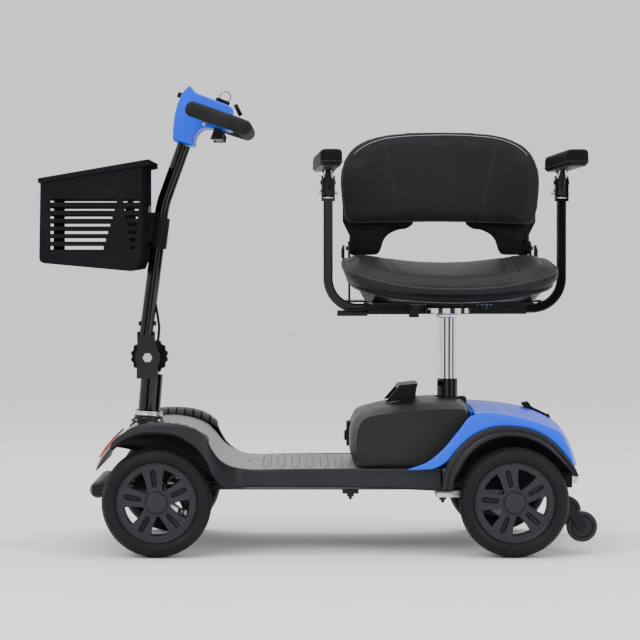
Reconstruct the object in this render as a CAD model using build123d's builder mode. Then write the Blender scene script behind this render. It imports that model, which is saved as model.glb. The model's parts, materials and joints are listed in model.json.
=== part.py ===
from build123d import *
from math import atan2, cos, radians, sin
import os

# Compact four-wheel mobility scooter that comes apart for carrying, in millimetres.
# +X points to the scooter's rear, +Y to its right side and +Z up.  The origin is on the
# floor, below the middle of the scooter's length and width.

os.makedirs("parts", exist_ok=True)

# ---------------------------------------------------------------- driving dimensions
tyre_radius = 100.0
tyre_width = 50.0
rim_radius = 72.0
wheel_y = 230.0
front_axle_x = -292.3
rear_axle_x = 356.1
axle_z = 100.0
axle_radius = 8.0
running_gap = 0.05

kingpin_y = 190.0
kingpin_radius = 7.0
steering_arm = 45.0
column_lean = 4.5
column_top_x = -319.5
column_top_z = 254.0
fold_x = -321.0
fold_z = 354.0

wall = 4.0
deck_top = 156.0
deck_bottom = 123.0
deck_half_width = 183.0
arch_radius = 118.0

rail_bottom = 110.0
bar_bottom = 104.0
rail_top = 118.0

post_x = 245.7
post_radius = 16.5
collar_radius = 19.5
seat_turn = 2.0
sides = {"left": -1, "right": 1}

# ---------------------------------------------------------------- planes and helpers


def side_plane(y):
    """A plane seen from the left side: its x runs to the rear and its y runs up."""
    return Plane(origin=(0, y, 0), x_dir=(1, 0, 0), z_dir=(0, -1, 0))


def level_plane(z):
    """A level plane seen from above."""
    return Plane.XY.offset(z)


def slab(outline, y_low, y_high):
    """A flat-sided solid with a straight-edged side outline, from y_low to y_high."""
    with BuildPart() as block:
        with BuildSketch(side_plane(y_high)):
            with BuildLine():
                Polyline(outline, close=True)
            make_face()
        extrude(amount=y_high - y_low)
    return block.part


def curved_slab(runs, y_low, y_high):
    """A flat-sided solid whose side outline is a chain of straight and curved runs."""
    with BuildPart() as block:
        with BuildSketch(side_plane(y_high)):
            with BuildLine():
                for run in runs:
                    if len(run) == 2:
                        Line(run[0], run[1])
                    else:
                        Spline(*run)
            make_face()
        extrude(amount=y_high - y_low)
    return block.part


def tower(outline, z_low, z_high):
    """An upright solid with a straight-edged plan outline, from z_low to z_high."""
    with BuildPart() as block:
        with BuildSketch(level_plane(z_low)):
            with BuildLine():
                Polyline(outline, close=True)
            make_face()
        extrude(amount=z_high - z_low)
    return block.part


def rod(start, end, radius, bore=0.0):
    """A round bar or tube between two points."""
    axis = Vector(*end) - Vector(*start)
    with BuildPart() as bar:
        with BuildSketch(Plane(origin=start, z_dir=axis)):
            Circle(radius)
            if bore > 0:
                Circle(bore, mode=Mode.SUBTRACT)
        extrude(amount=axis.length)
    return bar.part


def cross_rod(x, z, y_low, y_high, radius, bore=0.0):
    """A round bar or tube that lies across the scooter."""
    return rod((x, y_low, z), (x, y_high, z), radius, bore)


def block(x_low, x_high, y_low, y_high, z_low, z_high):
    """A rectangular block given by its limits."""
    corners = [(x_low, y_low), (x_high, y_low), (x_high, y_high), (x_low, y_high)]
    return tower(corners, z_low, z_high)


def lowered(points, drop):
    """The same outline points, moved down."""
    return [(x, z - drop) for x, z in points]


def mirrored_plan(half):
    """A closed plan outline from the points of its right half, front to rear."""
    return half + [(x, -y) for x, y in reversed(half)]


# ---------------------------------------------------------------- wheels


def make_tyre(name, axle_x, side):
    """A solid tyre with rounded shoulders."""
    tread_half = 17.0
    shoulder_radius = tyre_radius - 4
    sidewall_radius = tyre_radius - 13
    section = [
        (rim_radius, -20),
        (sidewall_radius, -tyre_width / 2),
        (shoulder_radius, -tyre_width / 2 + 2),
        (tyre_radius, -tread_half),
        (tyre_radius, tread_half),
        (shoulder_radius, tyre_width / 2 - 2),
        (sidewall_radius, tyre_width / 2),
        (rim_radius, 20),
    ]
    with BuildPart() as tyre:
        with BuildSketch(Plane(origin=(axle_x, side * wheel_y, axle_z))):
            with BuildLine():
                Polyline(section, close=True)
            make_face()
        revolve(axis=Axis((axle_x, side * wheel_y, axle_z), (0, 1, 0)), revolution_arc=360)
    tyre.part.label = name
    export_step(tyre.part, f"parts/{name}.step")


def make_rim(name, axle_x, side, phase):
    """A rim with five twin spokes, five windows, a hub bored for its axle and a hub cap."""
    hub_radius = 20.0
    barrel_wall = 6.0
    disc_inner = 2.0
    disc_outer = 12.0
    hub_inner = -16.0
    cap_face = 19.0
    section = [
        (axle_radius + running_gap, side * hub_inner),
        (hub_radius, side * hub_inner),
        (hub_radius, side * disc_inner),
        (rim_radius - barrel_wall, side * disc_inner),
        (rim_radius - barrel_wall, -side * 20),
        (rim_radius, -side * 20),
        (rim_radius, side * 20),
        (rim_radius - barrel_wall, side * 20),
        (rim_radius - barrel_wall, side * disc_outer),
        (hub_radius, side * disc_outer),
        (hub_radius - 2, side * cap_face),
        (0, side * cap_face),
        (0, side * 13),
        (axle_radius + running_gap, side * 13),
    ]
    window = [(30, -6), (54, -25), (61, -18), (64, 0), (61, 18), (54, 25), (30, 6)]
    face = Plane(
        origin=(axle_x, side * wheel_y + 20, axle_z), x_dir=(1, 0, 0), z_dir=(0, -1, 0)
    )
    with BuildPart() as rim:
        with BuildSketch(Plane(origin=(axle_x, side * wheel_y, axle_z))):
            with BuildLine():
                Polyline(section, close=True)
            make_face()
        revolve(axis=Axis((axle_x, side * wheel_y, axle_z), (0, 1, 0)), revolution_arc=360)
        with BuildSketch(face):
            with PolarLocations(0, 5, start_angle=phase + 36):
                Polygon(*window, align=None)
            with PolarLocations(45, 5, start_angle=phase):
                SlotOverall(34, 8)
        extrude(amount=40, mode=Mode.SUBTRACT)
    rim.part.label = name
    export_step(rim.part, f"parts/{name}.step")


for side_name, side in sides.items():
    make_tyre(f"tyre_front_{side_name}", front_axle_x, side)
    make_rim(f"rim_front_{side_name}", front_axle_x, side, 96.6)
    make_tyre(f"tyre_rear_{side_name}", rear_axle_x, side)
    make_rim(f"rim_rear_{side_name}", rear_axle_x, side, 102.6)

# ---------------------------------------------------------------- steering

# Every steering axis has the same lean, so all steering pieces are drawn in level-like
# planes square to it.
lean = radians(column_lean)
steer_x = Vector(cos(lean), 0, -sin(lean))
steer_axis = Vector(sin(lean), 0, cos(lean))
column_top = Vector(column_top_x, 0, column_top_z)
kingpin_centre = Vector(front_axle_x, 0, axle_z)
drop = (column_top - kingpin_centre).dot(steer_axis)
column_centre = column_top - steer_axis * drop


def steer_plane(centre, height):
    """A plane square to the steering axes, at a height above the wheel centres."""
    return Plane(origin=centre + steer_axis * height, x_dir=steer_x, z_dir=steer_axis)


eye_bottom = -12.0
eye_top = 24.0
fork_plate = 6.0
fork_gap = 0.5
rod_height = 8.0
rod_bottom = {"left": -22.0, "right": -12.0}
arm_pin_radius = 4.0
open_pivot_radius = 5.2

for side_name, side in sides.items():
    centre = Vector(front_axle_x, side * kingpin_y, axle_z)
    out = side * 19
    arm_top = rod_bottom[side_name] - fork_gap
    arm_bottom = arm_top - fork_plate
    lower_plate = eye_bottom - fork_gap - fork_plate
    with BuildPart() as knuckle:
        with BuildSketch(steer_plane(centre, eye_top + fork_gap)):
            SlotCenterToCenter(1, 22)
            with Locations((0, side * 10)):
                Rectangle(22, 18)
        extrude(amount=fork_plate)
        with BuildSketch(steer_plane(centre, lower_plate)):
            SlotCenterToCenter(1, 22)
            with Locations((0, side * 10)):
                Rectangle(22, 18)
        extrude(amount=fork_plate)
        with BuildSketch(steer_plane(centre, lower_plate)):
            with Locations((0, out - side * 2.5)):
                Rectangle(22, 5)
        extrude(amount=eye_top + fork_gap + fork_plate - lower_plate)
        with BuildSketch(steer_plane(centre, arm_bottom)):
            with Locations((14, 0)):
                Rectangle(10, 14)
        extrude(amount=lower_plate + fork_plate - arm_bottom)
        with BuildSketch(steer_plane(centre, arm_bottom)):
            with Locations(((steering_arm + 9) / 2, 0)):
                Rectangle(steering_arm - 9, 14)
            with Locations((steering_arm, 0)):
                Circle(7)
        extrude(amount=fork_plate)
        with BuildSketch(steer_plane(centre, arm_top)):
            with Locations((steering_arm, 0)):
                Circle(arm_pin_radius)
        extrude(amount=rod_height + 2)
        with BuildSketch(side_plane(centre.Y + side * 16.5)):
            with Locations((front_axle_x, axle_z)):
                Circle(axle_radius)
        extrude(amount=-side * 34)

    with BuildPart() as kingpin:
        with BuildSketch(steer_plane(centre, lower_plate - 4)):
            RegularPolygon(9, 6)
        extrude(amount=4)
        with BuildSketch(steer_plane(centre, lower_plate)):
            Circle(kingpin_radius - running_gap)
        extrude(amount=eye_top + fork_gap + fork_plate - lower_plate)
        with BuildSketch(steer_plane(centre, eye_top + fork_gap + fork_plate)):
            Circle(9)
        extrude(amount=4)

    with BuildPart() as steering_knuckle:
        add(knuckle.part)
        add(kingpin.part)
    steering_knuckle.part.label = f"knuckle_{side_name}"
    export_step(steering_knuckle.part, f"parts/knuckle_{side_name}.step")

    rod_start = column_centre + steer_x * steering_arm
    rod_end = centre + steer_x * steering_arm
    span = rod_end - rod_start
    rod_x = span.normalized()
    rod_plane = Plane(
        origin=rod_start + steer_axis * rod_bottom[side_name], x_dir=rod_x, z_dir=steer_axis
    )
    with BuildPart() as tie_rod:
        with BuildSketch(rod_plane):
            Circle(8)
            with Locations((span.length, 0)):
                Circle(9)
            with Locations((span.length / 2, 0)):
                Rectangle(span.length, 9)
            Circle(arm_pin_radius + running_gap, mode=Mode.SUBTRACT)
            with Locations((span.length, 0)):
                Circle(open_pivot_radius, mode=Mode.SUBTRACT)
        extrude(amount=rod_height)
    tie_rod.part.label = f"tie_rod_{side_name}"
    export_step(tie_rod.part, f"parts/tie_rod_{side_name}.step")

# The column shaft turns in the head tube and carries the drop arm below and the
# fold ears above.
shaft_radius = 10.0
tube_radius = 21.0
ear_radius = 24.0
ear_inner = 14.0
ear_outer = 22.0
drop_arm_bottom = rod_bottom["left"] - fork_gap - fork_plate
shaft_top = (column_top - column_centre).length

with BuildPart() as column:
    with BuildSketch(steer_plane(column_centre, drop_arm_bottom)):
        Circle(14)
        with Locations((steering_arm / 2, 0)):
            Rectangle(steering_arm, 16)
        with Locations((steering_arm, 0)):
            Circle(9)
    extrude(amount=fork_plate)
    with BuildSketch(steer_plane(column_centre, drop_arm_bottom)):
        with Locations((steering_arm, 0)):
            Circle(arm_pin_radius)
    extrude(amount=rod_bottom["right"] + rod_height + 2 - drop_arm_bottom)
    with BuildSketch(steer_plane(column_centre, drop_arm_bottom)):
        Circle(shaft_radius)
    extrude(amount=shaft_top + 1 - drop_arm_bottom)
    with BuildSketch(steer_plane(column_centre, shaft_top + 1)):
        Circle(tube_radius)
    extrude(amount=68)
    for side in sides.values():
        inner_face = ear_inner if side > 0 else -ear_outer
        with BuildSketch(side_plane(inner_face + ear_outer - ear_inner)):
            with Locations((fold_x, fold_z)):
                Circle(ear_radius)
            with Locations((fold_x - 1, fold_z - 20)):
                Rectangle(40, 40)
            with Locations((fold_x, fold_z)):
                Circle(6, mode=Mode.SUBTRACT)
        extrude(amount=ear_outer - ear_inner)
column.part.label = "steering_column"
export_step(column.part, "parts/steering_column.step")

bolt_head_face = -31.0
with BuildPart() as fold_bolt:
    with BuildSketch(side_plane(26)):
        with Locations((fold_x, fold_z)):
            Circle(6 - running_gap)
    extrude(amount=26 - bolt_head_face)
    with BuildSketch(side_plane(-ear_outer)):
        with Locations((fold_x, fold_z)):
            RegularPolygon(9.2, 6)
    extrude(amount=-ear_outer - bolt_head_face)
fold_bolt.part.label = "fold_bolt"
export_step(fold_bolt.part, "parts/fold_bolt.step")

knob_radius = 35.5
with BuildPart() as clamp_knob:
    with BuildSketch(side_plane(44)):
        with Locations((fold_x, fold_z)):
            Circle(knob_radius)
            with PolarLocations(knob_radius + 3, 16):
                Circle(5.5, mode=Mode.SUBTRACT)
    extrude(amount=18)
    with BuildSketch(side_plane(26)):
        with Locations((fold_x, fold_z)):
            Circle(16)
    extrude(amount=3.7)
    with BuildSketch(side_plane(26.5)):
        with Locations((fold_x, fold_z)):
            Circle(6.3)
    extrude(amount=10, mode=Mode.SUBTRACT)
clamp_knob.part.label = "clamp_knob"
export_step(clamp_knob.part, "parts/clamp_knob.step")

# ---------------------------------------------------------------- main frame

rail_inner = 60.0
rail_outer = 90.0
beam_front = front_axle_x - 12
beam_rear = front_axle_x + 12
frame_rear = 440.0
socket_top = 314.0
head_tube_bore = shaft_radius + running_gap

with BuildPart() as main_frame:
    for side in sides.values():
        low, high = sorted((side * rail_inner, side * rail_outer))
        add(block(-345, frame_rear, low, high, rail_bottom, rail_top))
    add(block(beam_front, beam_rear, -176, 176, bar_bottom, 120))
    add(block(-345, beam_rear, -rail_outer, rail_outer, rail_top, 126))
    add(block(45, 75, -170, 170, rail_bottom, rail_top))
    add(block(217, 262, -170, 170, bar_bottom, rail_top))
    add(block(frame_rear - 24, frame_rear, -170, 170, bar_bottom, rail_top))
    for x in (-110, 0, 110):
        for side in sides.values():
            low, high = sorted((side * rail_inner, side * rail_outer))
            add(block(x - 10, x + 10, low + 5, high - 5, rail_top, deck_top - wall - 1))
    for side in sides.values():
        centre = Vector(front_axle_x, side * kingpin_y, axle_z)
        with BuildSketch(steer_plane(centre, eye_bottom)):
            Circle(12)
            with Locations((0, -side * 8)):
                Rectangle(20, 12)
        extrude(amount=eye_top - eye_bottom)
        with BuildSketch(steer_plane(centre, eye_bottom)):
            Circle(kingpin_radius)
        extrude(amount=eye_top - eye_bottom, mode=Mode.SUBTRACT)
    with BuildSketch(steer_plane(column_centre, 20)):
        Circle(tube_radius)
    extrude(amount=shaft_top - 20)
    with BuildSketch(steer_plane(column_centre, -5)):
        Circle(head_tube_bore)
    extrude(amount=shaft_top + 10, mode=Mode.SUBTRACT)
    add(rod((rear_axle_x, -200, axle_z), (rear_axle_x, 200, axle_z), 14.3), mode=Mode.SUBTRACT)

with BuildPart() as bearing_collar:
    with BuildSketch(steer_plane(column_centre, shaft_top - 11)):
        Circle(25)
        Circle(tube_radius, mode=Mode.SUBTRACT)
    extrude(amount=10.5)

with BuildPart() as seat_socket:
    with BuildSketch(level_plane(rail_top)):
        with Locations((post_x, 0)):
            Circle(collar_radius)
            Circle(post_radius + running_gap, mode=Mode.SUBTRACT)
    extrude(amount=socket_top - rail_top)
    with BuildSketch(level_plane(rail_top)):
        with Locations((post_x, 0)):
            Circle(30)
            Circle(collar_radius - 1, mode=Mode.SUBTRACT)
    extrude(amount=6)
seat_socket.part.label = "seat_socket"
export_step(seat_socket.part, "parts/seat_socket.step")

with BuildPart() as frame_bolts:
    for side in sides.values():
        for x, top in ((60, rail_bottom), (230, bar_bottom)):
            with BuildSketch(level_plane(top - 12)):
                with Locations((x, side * 150)):
                    Circle(3)
            extrude(amount=12)
            with BuildSketch(level_plane(top - 7)):
                with Locations((x, side * 150)):
                    RegularPolygon(6.5, 6)
            extrude(amount=7)
frame_bolts.part.label = "frame_bolts"
export_step(frame_bolts.part, "parts/frame_bolts.step")

# ---------------------------------------------------------------- front cover and skirts

cover_line = [
    (-406, 157), (-391.5, 185), (-372.5, 206), (-346.5, 221), (-306.5, 230), (-268.5, 230),
    (-237.5, 223), (-211.5, 209), (-194, 188), (-176, 171), (-153, 161), (-126.5, deck_top),
]
cover_rear = 250.0
cover_drop = 5.0
well_wall_x = -150.0
skirt_half_width = deck_half_width + 5
cover_plan = mirrored_plan([
    (-406, 186), (-369, 229), (-205, 232), (-142, deck_half_width - 0.5), (cover_rear, deck_half_width - 0.5)
])

cover_body = curved_slab(
    [
        cover_line,
        [(-126.5, deck_top), (cover_rear, deck_top)],
        [(cover_rear, deck_top), (cover_rear, deck_bottom - 2)],
        [(cover_rear, deck_bottom - 2), (-406, deck_bottom - 2)],
        [(-406, deck_bottom - 2), (-406, 157)],
    ],
    -236,
    236,
)
inner_line = lowered(cover_line, cover_drop)
cover_inside = curved_slab(
    [
        inner_line,
        [inner_line[-1], (-126.5, 100)],
        [(-126.5, 100), (-407, 100)],
        [(-407, 100), (-407, inner_line[0][1])],
        [(-407, inner_line[0][1]), inner_line[0]],
    ],
    -240,
    240,
)
with BuildPart() as front_cover:
    add(cover_body)
    add(tower(cover_plan, 100, 260), mode=Mode.INTERSECT)
    add(cover_inside & block(-410, well_wall_x, -240, 240, 90, 260), mode=Mode.SUBTRACT)
    add(
        block(well_wall_x + wall, cover_rear - wall, -179, 179, 110, deck_top - cover_drop),
        mode=Mode.SUBTRACT,
    )
    for x in range(-96, 60, 27):
        add(block(x - 2, x + 2, -150, 150, deck_top - 1, deck_top + 1.2))
    with BuildSketch(steer_plane(column_centre, 100)):
        Circle(26)
    extrude(amount=60, mode=Mode.SUBTRACT)
    with BuildSketch(level_plane(110)):
        with Locations((post_x, 0)):
            Circle(31)
    extrude(amount=60, mode=Mode.SUBTRACT)
front_cover.part.label = "front_cover"
export_step(front_cover.part, "parts/front_cover.step")

skirt_plan = [
    (-400, 0), (-400, 200), (-372, 249), (-205, 249), (-137, skirt_half_width), (236, skirt_half_width),
    (236, 0),
]
skirt_core = [
    (-410, -10), (-410, 184), (-366, 234), (-203, 234), (-141, deck_half_width),
    (240, deck_half_width), (240, -10),
]
arch_start = (-375.0, 199.0)
arch_end = (-175.3, 134.0)


def make_skirt(side):
    """One dark band: the fender lip over a front wheel, running on as the deck's side."""
    y_low, y_high = sorted((0, side * 252))
    with BuildPart() as skirt:
        with BuildSketch(side_plane(y_high)):
            with BuildLine():
                Spline(
                    (-375, 204), (-348, 226), (-306, 243.5), (-273, 244.4), (-236, 240),
                    (-205, 228), (-188, 204), (-175, 185), (-157, 169), (-141, 161),
                    (-110, deck_top + 0.5),
                )
                Line((-110, deck_top + 0.5), (236, deck_top + 0.5))
                Line((236, deck_top + 0.5), (236, 119))
                Line((236, 119), (-158, deck_bottom))
                Line((-158, deck_bottom), arch_end)
                ThreePointArc(arch_end, (-288, 228), arch_start)
                Line(arch_start, (-375, 204))
            make_face()
        extrude(amount=y_high - y_low)
        add(tower([(x, side * y) for x, y in skirt_plan], 100, 260), mode=Mode.INTERSECT)
        add(tower([(x, side * y) for x, y in skirt_core], 100, 260), mode=Mode.SUBTRACT)
    return skirt.part


with BuildPart() as side_skirts:
    for side in sides.values():
        add(make_skirt(side))
side_skirts.part.label = "side_skirts"
export_step(side_skirts.part, "parts/side_skirts.step")

with BuildPart() as front_strip:
    with BuildSketch(side_plane(150)):
        with BuildLine():
            Polyline(
                (-403.6, 175.5), (-391.8, 194.5), (-379, 210), (-377, 207), (-389, 192),
                (-400.6, 174.5), close=True,
            )
        make_face()
    extrude(amount=300)
    add(cover_body, mode=Mode.SUBTRACT)
front_strip.part.label = "front_strip"
export_step(front_strip.part, "parts/front_strip.step")

bumper_x = -407.0
bumper_z = 113.0
with BuildPart() as bumper_roller:
    add(cross_rod(bumper_x, bumper_z, -125, 125, 15.5, 8))
    fillet(bumper_roller.edges().filter_by(GeomType.CIRCLE).group_by(SortBy.RADIUS)[-1], 4)
bumper_roller.part.label = "bumper_roller"
export_step(bumper_roller.part, "parts/bumper_roller.step")

with BuildPart() as bumper_bracket:
    add(cross_rod(bumper_x, bumper_z, -129, 129, 7.9))
    for side in sides.values():
        low, high = sorted((side * 126, side * 130))
        add(block(bumper_x - 10, bumper_x + 14, low, high, bumper_z - 10, bumper_z + 10))
        low, high = sorted((side * 64, side * 130))
        add(block(bumper_x + 20, -345, side * 75 - 10, side * 75 + 10, 104, 116))
        add(block(bumper_x + 18, bumper_x + 24, low, high, 104, 122))
        low, high = sorted((side * 126, side * 130))
        add(block(bumper_x + 10, bumper_x + 24, low, high, 104, 122))

with BuildPart() as chassis_frame:
    add(main_frame.part)
    add(bearing_collar.part)
    add(bumper_bracket.part)
chassis_frame.part.label = "main_frame"
export_step(chassis_frame.part, "parts/main_frame.step")

# ---------------------------------------------------------------- rear body

shroud_half_width = 216.0
crown_half_width = 130.0
shroud_floor = 150.0
crown_line = [
    (284, 150), (284, 265), (291, 272), (307, 274), (346, 271), (397, 263), (438, 245), (452, 235),
    (464, 219), (475, 192), (484, 162), (484, 150),
]
crease_line = [
    (284, 150), (284, 257), (291, 260), (299, 261), (331, 259), (375, 251), (419, 237), (441, 226),
    (449, 212), (458, 190), (466, 164), (466, 150),
]
swoosh_line = [
    (284, 157.5), (168, 157.5), (185, 166), (204, 176), (230, 194), (255, 220), (279, 258), (284, 258),
]


def shrunk(points, drop):
    """The outline of a shell's inside, drawn in from its front, top and rear."""
    middle = (points[0][0] + points[-1][0]) / 2
    reach = (points[-1][0] - points[0][0]) / 2
    scale = (reach - drop) / reach
    return [
        (middle + (x - middle) * scale, z - drop if z > shroud_floor else z - 1)
        for x, z in points
    ]


def crowned_hull(centre, edge, inner_y, outer_y):
    """A hull with one side outline in its middle and another at its two flanks."""
    with BuildPart() as hull:
        add(slab(centre, -inner_y, inner_y))
        for side in sides.values():
            with BuildSketch(side_plane(side * inner_y)):
                with BuildLine():
                    Polyline(centre, close=True)
                make_face()
            with BuildSketch(side_plane(side * outer_y)):
                with BuildLine():
                    Polyline(edge, close=True)
                make_face()
            loft(ruled=True)
    return hull.part


shroud_outside = crowned_hull(crown_line, crease_line, crown_half_width, shroud_half_width)
shroud_inside = crowned_hull(
    shrunk(crown_line, wall), shrunk(crease_line, wall), crown_half_width, shroud_half_width - wall
)
with BuildPart() as rear_shroud:
    add(shroud_outside)
    for side in sides.values():
        low, high = sorted((side * 188, side * shroud_half_width))
        add(slab(swoosh_line, low, high))
    add(shroud_inside, mode=Mode.SUBTRACT)
    for side in sides.values():
        low, high = sorted((side * 187, side * 230))
        add(cross_rod(355, 104, low, high, arch_radius + 14), mode=Mode.SUBTRACT)
    add(block(384, 450, -19, 19, 225, 290), mode=Mode.SUBTRACT)
rear_shroud.part.label = "rear_shroud"
export_step(rear_shroud.part, "parts/rear_shroud.step")


def make_arch_trim(side):
    """The dark lip round a rear wheel opening, as deep as the side of the body."""
    y_low, y_high = sorted((side * 188, side * 222))
    with BuildPart() as trim:
        with BuildSketch(side_plane(y_high)):
            with Locations((355, 104)):
                Circle(arch_radius + 13.7)
                Circle(arch_radius, mode=Mode.SUBTRACT)
            with Locations((355, 0)):
                Rectangle(400, 2 * 126, mode=Mode.SUBTRACT)
            with Locations((473, 104)):
                Rectangle(12, 70, mode=Mode.SUBTRACT)
        extrude(amount=y_high - y_low)
    return trim.part


with BuildPart() as arch_trims:
    for side in sides.values():
        add(make_arch_trim(side))
arch_trims.part.label = "arch_trims"
export_step(arch_trims.part, "parts/arch_trims.step")

with BuildPart() as rear_panel:
    add(block(441, 466, -180, 180, 122, 126))
    add(block(462, 466, -180, 180, 126, 149.5))
    for side in sides.values():
        low, high = sorted((side * 176, side * 180))
        add(block(441, 462, low, high, 126, 149.5))
rear_panel.part.label = "rear_panel"
export_step(rear_panel.part, "parts/rear_panel.step")

with BuildPart() as rear_reflectors:
    for side in sides.values():
        low, high = sorted((side * 130, side * 178))
        add(block(466, 478, low, high, 130, 149))
    fillet(rear_reflectors.edges().group_by(Axis.X)[-1], 3)
rear_reflectors.part.label = "rear_reflectors"
export_step(rear_reflectors.part, "parts/rear_reflectors.step")

with BuildPart() as transaxle:
    add(cross_rod(rear_axle_x, axle_z, -200, 200, 14, axle_radius))
    add(cross_rod(rear_axle_x, axle_z, -55, 55, 44))
    add(block(300, 330, -50, 50, 119, 215))
    add(block(300, 356, -50, 50, 119, 140))

motor_z = 180.0
with BuildPart() as drive_motor:
    add(rod((330, 0, motor_z), (425, 0, motor_z), 34))
    fillet(drive_motor.edges().group_by(Axis.X)[-1], 6)
drive_motor.part.label = "drive_motor"
export_step(drive_motor.part, "parts/drive_motor.step")

with BuildPart() as controller:
    add(block(310, 420, 60, 130, 126, 166))
    for fin_y in range(66, 128, 12):
        add(block(314, 416, fin_y, fin_y + 6, 166, 176))
    add(block(320, 410, 70, 90, rail_top, 126))
controller.part.label = "controller"
export_step(controller.part, "parts/controller.step")

with BuildPart() as rear_axle:
    add(cross_rod(rear_axle_x, axle_z, -240, 240, axle_radius))

with BuildPart() as drive_axle:
    add(transaxle.part)
    add(rear_axle.part)
drive_axle.part.label = "transaxle"
export_step(drive_axle.part, "parts/transaxle.step")

with BuildPart() as freewheel_bracket:
    add(block(430, 439, -12, 12, 205, 215))
    add(block(430, 439, -12, -8, 205, 246))
    add(block(430, 439, 8, 12, 205, 246))
    add(block(425, 439, -12, 12, 201, 207))
    add(cross_rod(434, 238, -8, 8, 3))
freewheel_bracket.part.label = "freewheel_bracket"
export_step(freewheel_bracket.part, "parts/freewheel_bracket.step")

with BuildPart() as freewheel_lever:
    add(cross_rod(434, 238, -6, 6, 7))
    add(slab([(432, 232), (394, 254), (388, 266), (392, 268), (402, 262), (437, 245)], -6, 6))
    add(slab([(388, 262), (386, 268), (398, 270), (404, 262), (398, 256)], -15, 15))
    add(cross_rod(434, 238, -8, 8, 3 + running_gap), mode=Mode.SUBTRACT)
freewheel_lever.part.label = "freewheel_lever"
export_step(freewheel_lever.part, "parts/freewheel_lever.step")

# ---------------------------------------------------------------- anti-tip wheels

anti_tip_x = 486.5
anti_tip_y = 151.0
anti_tip_z = 48.0
anti_tip_radius = 28.2
arm_offset = 13.0

with BuildPart() as anti_tip_arms:
    for side in sides.values():
        for offset in (-arm_offset, arm_offset):
            y = side * anti_tip_y + offset
            add(
                slab(
                    [(440, 118), (462, 104), (494, 52), (490, 40), (480, 40), (452, 92), (440, 104)],
                    y - 2,
                    y + 2,
                )
            )
        low, high = sorted((side * anti_tip_y - arm_offset - 2, side * anti_tip_y + arm_offset + 2))
        add(block(440, 446, low, high, 104, 118))
        add(
            cross_rod(
                anti_tip_x, anti_tip_z, side * anti_tip_y - 18, side * anti_tip_y + 18, 4
            )
        )
anti_tip_arms.part.label = "anti_tip_arms"
export_step(anti_tip_arms.part, "parts/anti_tip_arms.step")

for side_name, side in sides.items():
    section = [
        (4 + running_gap, -10), (9, -10), (9, -6), (19, -6), (21, -9), (26, -9),
        (anti_tip_radius, -6), (anti_tip_radius, 6), (26, 9), (21, 9), (19, 6), (9, 6), (9, 10),
        (4 + running_gap, 10),
    ]
    hub = Plane(origin=(anti_tip_x, side * anti_tip_y, anti_tip_z))
    with BuildPart() as anti_tip_wheel:
        with BuildSketch(hub):
            with BuildLine():
                Polyline(section, close=True)
            make_face()
        revolve(axis=Axis(hub.origin, (0, 1, 0)), revolution_arc=360)
    anti_tip_wheel.part.label = f"anti_tip_wheel_{side_name}"
    export_step(anti_tip_wheel.part, f"parts/anti_tip_wheel_{side_name}.step")

# ---------------------------------------------------------------- battery

battery_half_width = 165.0
battery_crown = 118.0
battery_floor = 157.5
battery_middle = [
    (59, battery_floor), (59, 222), (65, 240), (76, 257), (110, 268), (150, 275), (192, 280),
    (223, 281), (264, 278.5), (280, 270), (280, battery_floor),
]
battery_edge = [
    (73, battery_floor), (69.5, 207), (75, 233), (84, 246), (92.5, 249), (120, 254.5), (163, 259),
    (215, 262), (262, 265), (276, 262), (278, battery_floor),
]
battery_body = crowned_hull(battery_middle, battery_edge, battery_crown, battery_half_width)
with BuildPart() as battery_case:
    add(battery_body)
    add(block(218, 290, -24, 24, 150, 300), mode=Mode.SUBTRACT)
    add(block(79, 212, -155, 155, 162, 240), mode=Mode.SUBTRACT)

with BuildPart() as battery_cells:
    for side in sides.values():
        low, high = sorted((side * 3, side * 154))
        add(block(80, 178, low, high, 162, 236))
        for y in (side * 20, side * 130):
            add(block(90, 102, y - 6, y + 6, 236, 239))
battery_cells.part.label = "battery_cells"
export_step(battery_cells.part, "parts/battery_cells.step")

handle_half_width = 60.0
with BuildPart() as battery_handle:
    for side in sides.values():
        low, high = sorted((side * (handle_half_width - 9), side * handle_half_width))
        add(slab([(112, 255), (153, 302), (186, 305), (181, 262)], low, high))
    add(
        slab(
            [(148, 297), (153, 303.5), (187.6, 307), (186, 299), (156, 296)],
            -handle_half_width,
            handle_half_width,
        )
    )
    add(battery_body, mode=Mode.SUBTRACT)
battery_handle.part.label = "battery_handle"
export_step(battery_handle.part, "parts/battery_handle.step")

with BuildPart() as charge_socket:
    with BuildSketch(Plane(origin=(59, 0, 210), x_dir=(0, 1, 0), z_dir=(-1, 0, 0))):
        RectangleRounded(60, 46, 8)
    extrude(amount=5)
    with BuildSketch(Plane(origin=(54, 0, 206), x_dir=(0, 1, 0), z_dir=(-1, 0, 0))):
        Circle(10)
    extrude(amount=4.5)

with BuildPart() as battery_box:
    add(battery_case.part)
    add(charge_socket.part)
battery_box.part.label = "battery_case"
export_step(battery_box.part, "parts/battery_case.step")

# ---------------------------------------------------------------- tiller

tiller_tube_radius = 13.0
tiller_start = Vector(-327.0, 0, 384)
tiller_bend = Vector(-293.5, 0, 642)
tiller_end = Vector(-252.6, 0, 755.8)
ear_clearance = 0.5
socket_half = ear_inner - ear_clearance

with BuildPart() as tiller_tube:
    with BuildLine() as tube_path:
        FilletPolyline(tiller_start, tiller_bend, tiller_end, radius=150)
    with BuildSketch(Plane(origin=tiller_start, z_dir=tiller_bend - tiller_start)):
        Circle(tiller_tube_radius)
        Circle(tiller_tube_radius - 2, mode=Mode.SUBTRACT)
    sweep()
tiller_tube.part.label = "tiller_tube"
export_step(tiller_tube.part, "parts/tiller_tube.step")

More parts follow.
